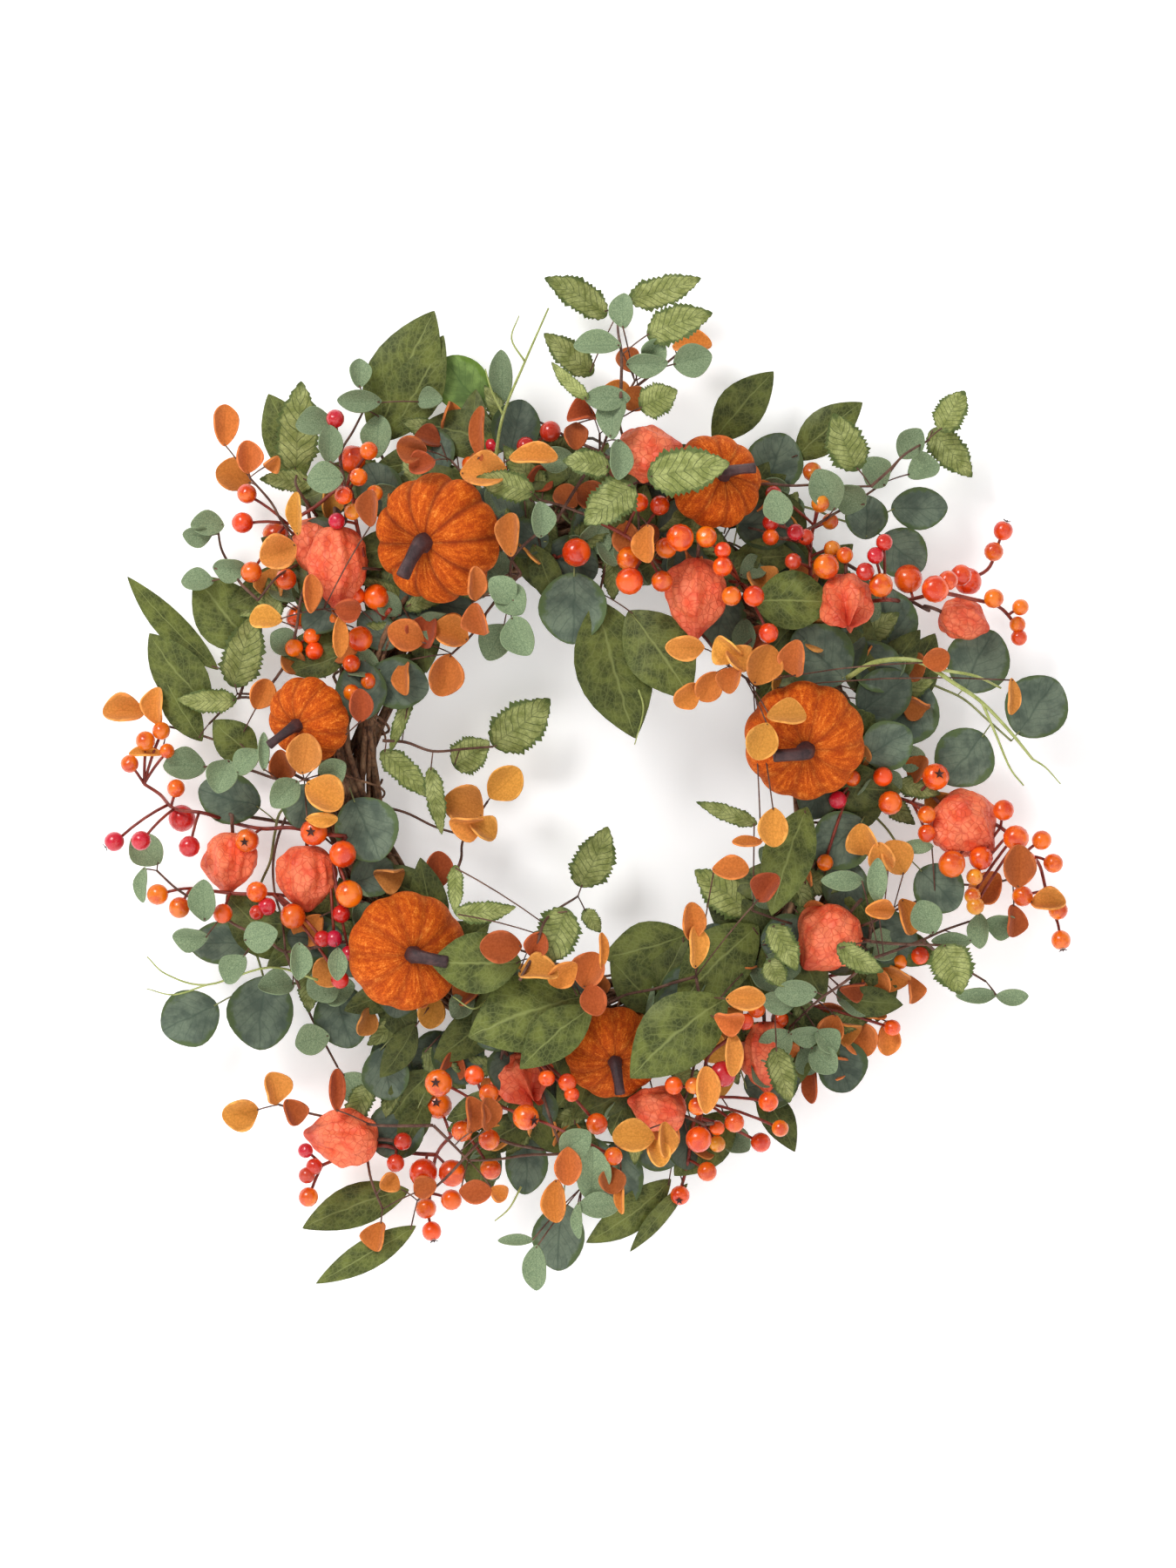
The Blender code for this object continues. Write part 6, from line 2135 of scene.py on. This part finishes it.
    def stem(self, pumpkin: Pumpkin, number: int) -> None:
        """Makes a pumpkin's hooked stem, ridged, flared at its foot and cut off square.

        Args:
            pumpkin: its layout.
            number: its number, which seeds its ridges.
        """
        axis = self.axis(pumpkin)
        heading = math.radians(pumpkin.stem_heading)
        aside = Vector((math.cos(heading), 0.0, math.sin(heading)))
        radius = pumpkin.radius * MM
        foot = self.seat(pumpkin) + axis * (self.front * self.stem_foot * radius)
        knots = [foot + axis * rise * MM + aside * lean * radius for rise, lean in self.stem_bend]
        line = smooth_route(knots, 5)
        deselect()
        bpy.ops.mesh.primitive_circle_add(vertices=self.stem_sides, radius=1.0)
        stem = newest()
        stem.name = f"{pumpkin.name}_hooked_stem"
        bpy.ops.object.mode_set(mode="EDIT")
        bpy.ops.mesh.select_all(action="SELECT")
        bpy.ops.mesh.edge_face_add()
        for _ in line[1:]:
            bpy.ops.mesh.extrude_region_move(TRANSFORM_OT_translate={"value": (0.0, 0.0, 1.0)})
        bpy.ops.object.mode_set(mode="OBJECT")
        rows = get_points(stem)
        levels = np.rint(rows[:, 2]).astype(int)
        twist = 0.5 * number
        for index, (x, y, _) in enumerate(rows):
            level = int(levels[index])
            share = level / (len(line) - 1)
            ahead = line[min(level + 1, len(line) - 1)] - line[max(level - 1, 0)]
            ring = ahead.to_track_quat("Z", "Y").to_matrix()
            turn = math.atan2(y, x) + twist * share
            thick = self.stem_base + (self.stem_tip - self.stem_base) * min(1.0, 1.5 * share) ** 0.7
            thick += 1.9 * (1.0 - share) ** 9 + 0.6 * share ** 8
            thick *= (1.0 + 0.1 * math.cos(5.0 * turn + number)) * pumpkin.radius / 42.0
            rows[index] = line[level] + ring @ Vector((math.cos(turn), math.sin(turn), 0.0)) * thick * MM
        set_points(stem, rows)
        merge_and_face_out(stem)
        stain(stem, WHITE)
        soften(stem)
        bpy.ops.object.shade_smooth()
        stem.data.materials.append(self.palette["pumpkin_stem_bark"])
        finish_piece(stem, "wreath", [f"{pumpkin.name}_stem"])


# ---------------------------------------------------------------------------------------------- lanterns


@dataclass
class LanternPicks:
    """The papery lantern pods on their wires."""

    picks: Sequence[LanternPick]
    lay: Lay
    palette: Palette
    segments: int = 56
    rings: int = 28
    ridges: int = 5
    fuller: float = 1.08
    crumple: float = 0.34
    crumple_scale: float = 0.13
    flared_lean: float = 40.0
    crease: float = 38.0
    sunk_share: float = 0.42
    neck_share: float = 0.4
    wire_length: float = 10.0
    wire_radius: float = 1.3

    def build(self) -> None:
        """Makes and dresses every pick."""
        for number, pick in enumerate(self.picks):
            self.make(pick, number)

    def husk(self, length: float, width: float, flare: float, draw: random.Random) -> Piece:
        """A pod along X: five papery ridges, sunk at the stem, drawn out to a point.

        Args:
            length: millimetres.
            width: millimetres.
            flare: how far its tip opens out into a star, 0 for a closed pod.
            draw: the pick's random draws.

        Returns:
            The pod around the origin.
        """
        deselect()
        bpy.ops.mesh.primitive_uv_sphere_add(segments=self.segments, ring_count=self.rings, radius=1.0)
        husk = newest()
        husk.data.uv_layers.active.name = "UVMap"
        rows = get_points(husk)
        along = rows[:, 2].copy()
        turn = np.arctan2(rows[:, 1], rows[:, 0])
        phase = draw.uniform(0.0, ANY_PHASE)
        ridge = 1.0 - np.abs(np.sin(0.5 * self.ridges * turn + phase)) ** 0.8
        minor = np.abs(np.cos(1.5 * self.ridges * turn + 2.0 * phase)) ** 0.7
        tip = along.clip(0.0)
        taper = 1.0 - 0.3 * tip ** 2
        ring = 0.9 + 0.2 * ridge + 0.05 * minor * (1.0 - tip)
        wobble = 0.05 * np.sin(5.0 * along + 3.0 * turn + phase) + 0.035 * np.sin(9.0 * along - 4.0 * turn)
        wobble = wobble + 0.025 * np.sin(17.0 * along + 7.0 * turn + 2.0 * phase)
        across = taper * (ring + wobble) * (1.0 + flare * tip * (0.9 * ridge - 0.15))
        reach = along * 0.5 + np.where(along > 0.9, (along - 0.9) * 0.6, 0.0)
        reach = reach + np.where(along < 0.0, 0.07 * (1.0 - np.hypot(rows[:, 0], rows[:, 1])) ** 2, 0.0)
        wide = rows[:, 0] * across * width * 0.5
        deep = rows[:, 1] * across * width * 0.46
        made = np.column_stack([reach * length, wide, deep])
        made[:, 0] += flare * length * 0.3 * tip * (ridge - 0.4)
        for index, (x, y, z) in enumerate(made):
            spot = Vector((0.3 * x, y, z)) * self.crumple_scale
            cell = noise.voronoi(spot + Vector((phase, 0.0, 0.0)))[0][0]
            made[index, 1:] *= 1.0 + self.crumple * (cell - 0.45)
        set_points(husk, made * MM)
        return husk

    def make(self, pick: LanternPick, number: int) -> None:
        """Makes one pick.

        Args:
            pick: its layout.
            number: its number, which seeds its draws.
        """
        draw = random.Random(500 + number)
        husks = []
        routes = []
        for x, z, length, width, heading, *letters in pick.pods:
            flare = 1.0 if letters else 0.0
            turn = math.radians(heading)
            front, _ = self.lay.seen(pick.name, x, z)
            if front is None:
                front = self.lay.stem_depth(pick.name, x, z)
            depth = front - self.sunk_share * width
            husk = self.husk(length, self.fuller * width, flare, draw)
            lean = facing(heading, None, draw.uniform(-4.0, 10.0) + flare * self.flared_lean,
                          draw.uniform(-180.0, 180.0))
            husk.data.transform(Matrix.Translation(point(x, z, depth)) @ lean)
            warm = shifted(WHITE, 0.0, pick.shade * draw.uniform(0.92, 1.08))
            stain(husk, warm)
            husks.append(husk)
            reach = 0.5 * length + self.wire_length
            foot = (x - reach * math.cos(turn), z - reach * math.sin(turn))
            behind = self.lay.stem_depth(pick.name, *foot)
            inside = self.neck_share * length
            neck = point(x - inside * math.cos(turn), z - inside * math.sin(turn), depth)
            routes.append((twig(point(*foot, behind), neck, 0.002), self.wire_radius, self.wire_radius))
        if len(routes) > 1:
            feet = [route[0][0] for route in routes]
            sunk = [Vector((foot.x, -STEM_FLOOR * MM, foot.z)) for foot in feet]
            routes.append((smooth_route([feet[0], *sunk, feet[1]]), self.wire_radius, self.wire_radius))
        piece = join(husks, pick.name)
        dress(piece, self.palette["lantern_paper"])
        soften(piece)
        bpy.ops.object.shade_smooth_by_angle(angle=math.radians(self.crease))
        piece = join([piece, tubes("lantern_wire", routes, self.palette["twig_bark"])], f"{pick.name}_pods")
        finish_piece(piece, "wreath", [pick.name])


# ---------------------------------------------------------------------------------------------- vines


@dataclass
class VineBase:
    """The grapevine ring: bundles of thin vines twisted round the ring's line, tied by loose tendrils."""

    palette: Palette
    strands: int = 4
    offset: float = 14.6
    twists: int = 3
    vines: int = 10
    spread: float = 8.0
    points: int = 170
    wraps: int = 16
    wrap_reach: tuple[float, float] = (22.5, 25.5)
    wrap_points: int = 26

    def place(self, around: float, reach: float, lay_angle: float) -> Vector:
        """A point off the ring's line, reach millimetres out at lay_angle."""
        out = RING_RADIUS + reach * math.cos(lay_angle)
        depth = RING_DEPTH + reach * math.sin(lay_angle)
        return point(out * math.cos(around), out * math.sin(around), depth)

    def build(self) -> None:
        """Makes the bundles and the tendrils."""
        for strand in range(self.strands):
            self.bundle(strand)
        self.tendrils()

    def bundle(self, strand: int) -> None:
        """One bundle of vines.

        Args:
            strand: its number, from 0.
        """
        draw = random.Random(700 + strand)
        parts = []
        for vine in range(self.vines):
            phase = draw.uniform(0.0, ANY_PHASE)
            away = self.spread * math.sqrt(draw.uniform(0.05, 1.0))
            turns = draw.choice((-2, -1, 1, 2, 3))
            wobble = draw.uniform(0.6, 1.8)
            rate = draw.choice((5, 7, 9, 11))
            radius = draw.uniform(1.2, 2.6)
            places = []
            for step in range(self.points):
                around = math.tau * step / self.points
                lay_angle = self.twists * around + math.tau * strand / self.strands
                aside = turns * around + phase
                sway = wobble * math.sin(rate * around + phase)
                across = self.offset * math.cos(lay_angle) + (away + sway) * math.cos(aside)
                forward = self.offset * math.sin(lay_angle) + (away + sway) * math.sin(aside)
                out = RING_RADIUS + across
                places.append(point(out * math.cos(around), out * math.sin(around), RING_DEPTH + forward))
            tone = draw.uniform(0.8, 1.5)
            parts.append(tubes("vine", [(places, radius, radius)], self.palette["vine_bark"], 2, True,
                               (tone, 0.96 * tone, 0.92 * tone, 1.0)))
        piece = join(parts, f"vine_bundle_{strand + 1}")
        finish_piece(piece, "wreath", [f"vine_strand_{strand + 1}"])

    def tendrils(self) -> None:
        """Thin tendrils wound over the bundles."""
        draw = random.Random(790)
        routes = []
        for wrap in range(self.wraps):
            start = math.tau * wrap / self.wraps + draw.uniform(-0.15, 0.15)
            sweep = draw.uniform(0.25, 0.7)
            turns = draw.choice((1.0, 1.5, 2.0))
            phase = draw.uniform(0.0, ANY_PHASE)
            reach = draw.uniform(*self.wrap_reach)
            count = int(self.wrap_points * turns)
            places = []
            for step in range(count + 1):
                share = step / count
                places.append(self.place(start + sweep * share, reach + draw.uniform(-0.5, 0.5),
                                         phase + math.tau * turns * share))
            radius = draw.uniform(0.8, 1.5)
            routes.append((places, radius, 0.6 * radius))
        piece = tubes("vine_tendrils", routes, self.palette["vine_bark"], 1, False, (1.15, 1.05, 0.98, 1.0))
        finish_piece(piece, "wreath")


# ---------------------------------------------------------------------------------------------- studio


@dataclass
class Studio:
    """A white wall close behind, a pale floor below, soft light from the upper left and the camera."""

    wall_y: float = 0.006
    wall_half: float = 4.0
    floor_z: float = -1.05
    distance: float = 2.4
    middle_y: float = -0.06
    middle_z: float = -0.243
    lens: float = 80.0
    wall_glow: float = 0.32
    sky_strength: float = 0.42

    def build(self) -> None:
        """Sets up the whole studio."""
        self.wall()
        self.floor()
        self.light()
        self.camera()

    def plaster(self, name: str, one_sided: bool) -> Material:
        """Matt white plaster.

        Args:
            name: the material's name.
            one_sided: whether its back can be seen through.

        Returns:
            The material.
        """
        material, bench, shader = new_material(name)
        place = bench.place()
        cloud = bench.add("TexNoise", {"Vector": place, "Scale": 2.0, "Detail": 3.0}).outputs["Fac"]
        colour = bench.mix(cloud, (0.93, 0.93, 0.935, 1.0), (0.95, 0.95, 0.95, 1.0))
        wire(bench, shader, colour, 0.9)
        set_inputs(shader, Specular_IOR_Level=0.1, Emission_Color=WHITE, Emission_Strength=self.wall_glow)
        if one_sided:
            back = bench.add("NewGeometry").outputs["Backfacing"]
            clear = bench.add("BsdfTransparent")
            either = bench.add("MixShader", {0: back, 1: shader.outputs[0], 2: clear.outputs[0]})
            output = material.node_tree.nodes["Material Output"]
            bench.tree.links.new(either.outputs[0], output.inputs["Surface"])
        return material

    def wall(self) -> None:
        """The wall behind, which can be seen through from its back."""
        deselect()
        bpy.ops.mesh.primitive_plane_add(size=2.0 * self.wall_half, location=(0.0, self.wall_y, 0.0),
                                         rotation=(math.radians(90.0), 0.0, 0.0))
        wall = newest()
        wall.name = "studio_wall"
        wall.data.materials.append(self.plaster("studio_plaster", True))

    def floor(self) -> None:
        """The pale floor."""
        deselect()
        bpy.ops.mesh.primitive_plane_add(size=2.0 * self.wall_half, location=(0.0, 0.0, self.floor_z))
        ground = newest()
        ground.name = "studio_floor"
        ground.data.materials.append(self.plaster("studio_floor_paint", False))

    def area(self, name: str, place: tuple, target: Vector, size: float, power: float) -> None:
        """A soft square light.

        Args:
            name: its name.
            place: where it stands.
            target: what it points at.
            size: its side, metres.
            power: watts.
        """
        deselect()
        bpy.ops.object.light_add(type="AREA", location=place)
        lamp = newest()
        lamp.name = name
        lamp.data.size = size
        lamp.data.energy = power
        lamp.rotation_euler = (target - Vector(place)).to_track_quat("-Z", "Y").to_euler()

    def light(self) -> None:
        """A large key at the upper left, a broad fill and an even sky."""
        middle = Vector((0.0, self.middle_y, self.middle_z))
        self.area("key_light", (-1.5, -2.2, 1.5), middle, 1.1, 58.0)
        self.area("fill_light", (1.6, -2.6, 0.2), middle, 2.4, 9.0)
        world = bpy.data.worlds.new("studio_sky")
        bpy.context.scene.world = world
        world.use_nodes = True
        sky = world.node_tree.nodes["Background"]
        set_inputs(sky, Color=WHITE, Strength=self.sky_strength)

    def camera(self) -> None:
        """The camera, straight in front."""
        deselect()
        place = (0.0, self.middle_y - self.distance, self.middle_z)
        bpy.ops.object.camera_add(location=place, rotation=(math.radians(90.0), 0.0, 0.0))
        camera = newest()
        camera.name = "front_camera"
        camera.data.lens = self.lens
        camera.data.sensor_width = 36.0
        bpy.context.scene.camera = camera


def dress_hanger(palette: Palette) -> None:
    """Gives the hanger's CAD pieces their wire finish.

    Args:
        palette: the materials.
    """
    for name in ("hanger_bar", "hanging_loop", "binding_wire_left", "binding_wire_right"):
        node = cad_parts[name]
        dress(node, palette["dulled_wire"])
        for polygon in node.data.polygons:
            polygon.material_index = 0
        log.info("%s keeps its CAD mesh", name)


def main() -> None:
    """Builds the wreath's classes in order, and its studio."""
    bpy.context.scene.view_settings.view_transform = "Standard"
    palette = Palette()
    lay = Lay()
    VineBase(palette).build()
    dress_hanger(palette)
    PumpkinPicks(PUMPKINS, palette).build()
    LanternPicks(LANTERNS, lay, palette).build()
    BerryPicks(BERRY_PICKS, lay, palette).build()
    stock = LeafStock()
    LeafSprays(LEAF_SPRAYS, lay, palette, stock).build()
    BackingLeaves(stock, palette).build()
    stock.clear()
    Tendrils(palette).build()
    Studio().build()


if __name__ == "__main__":
    main()
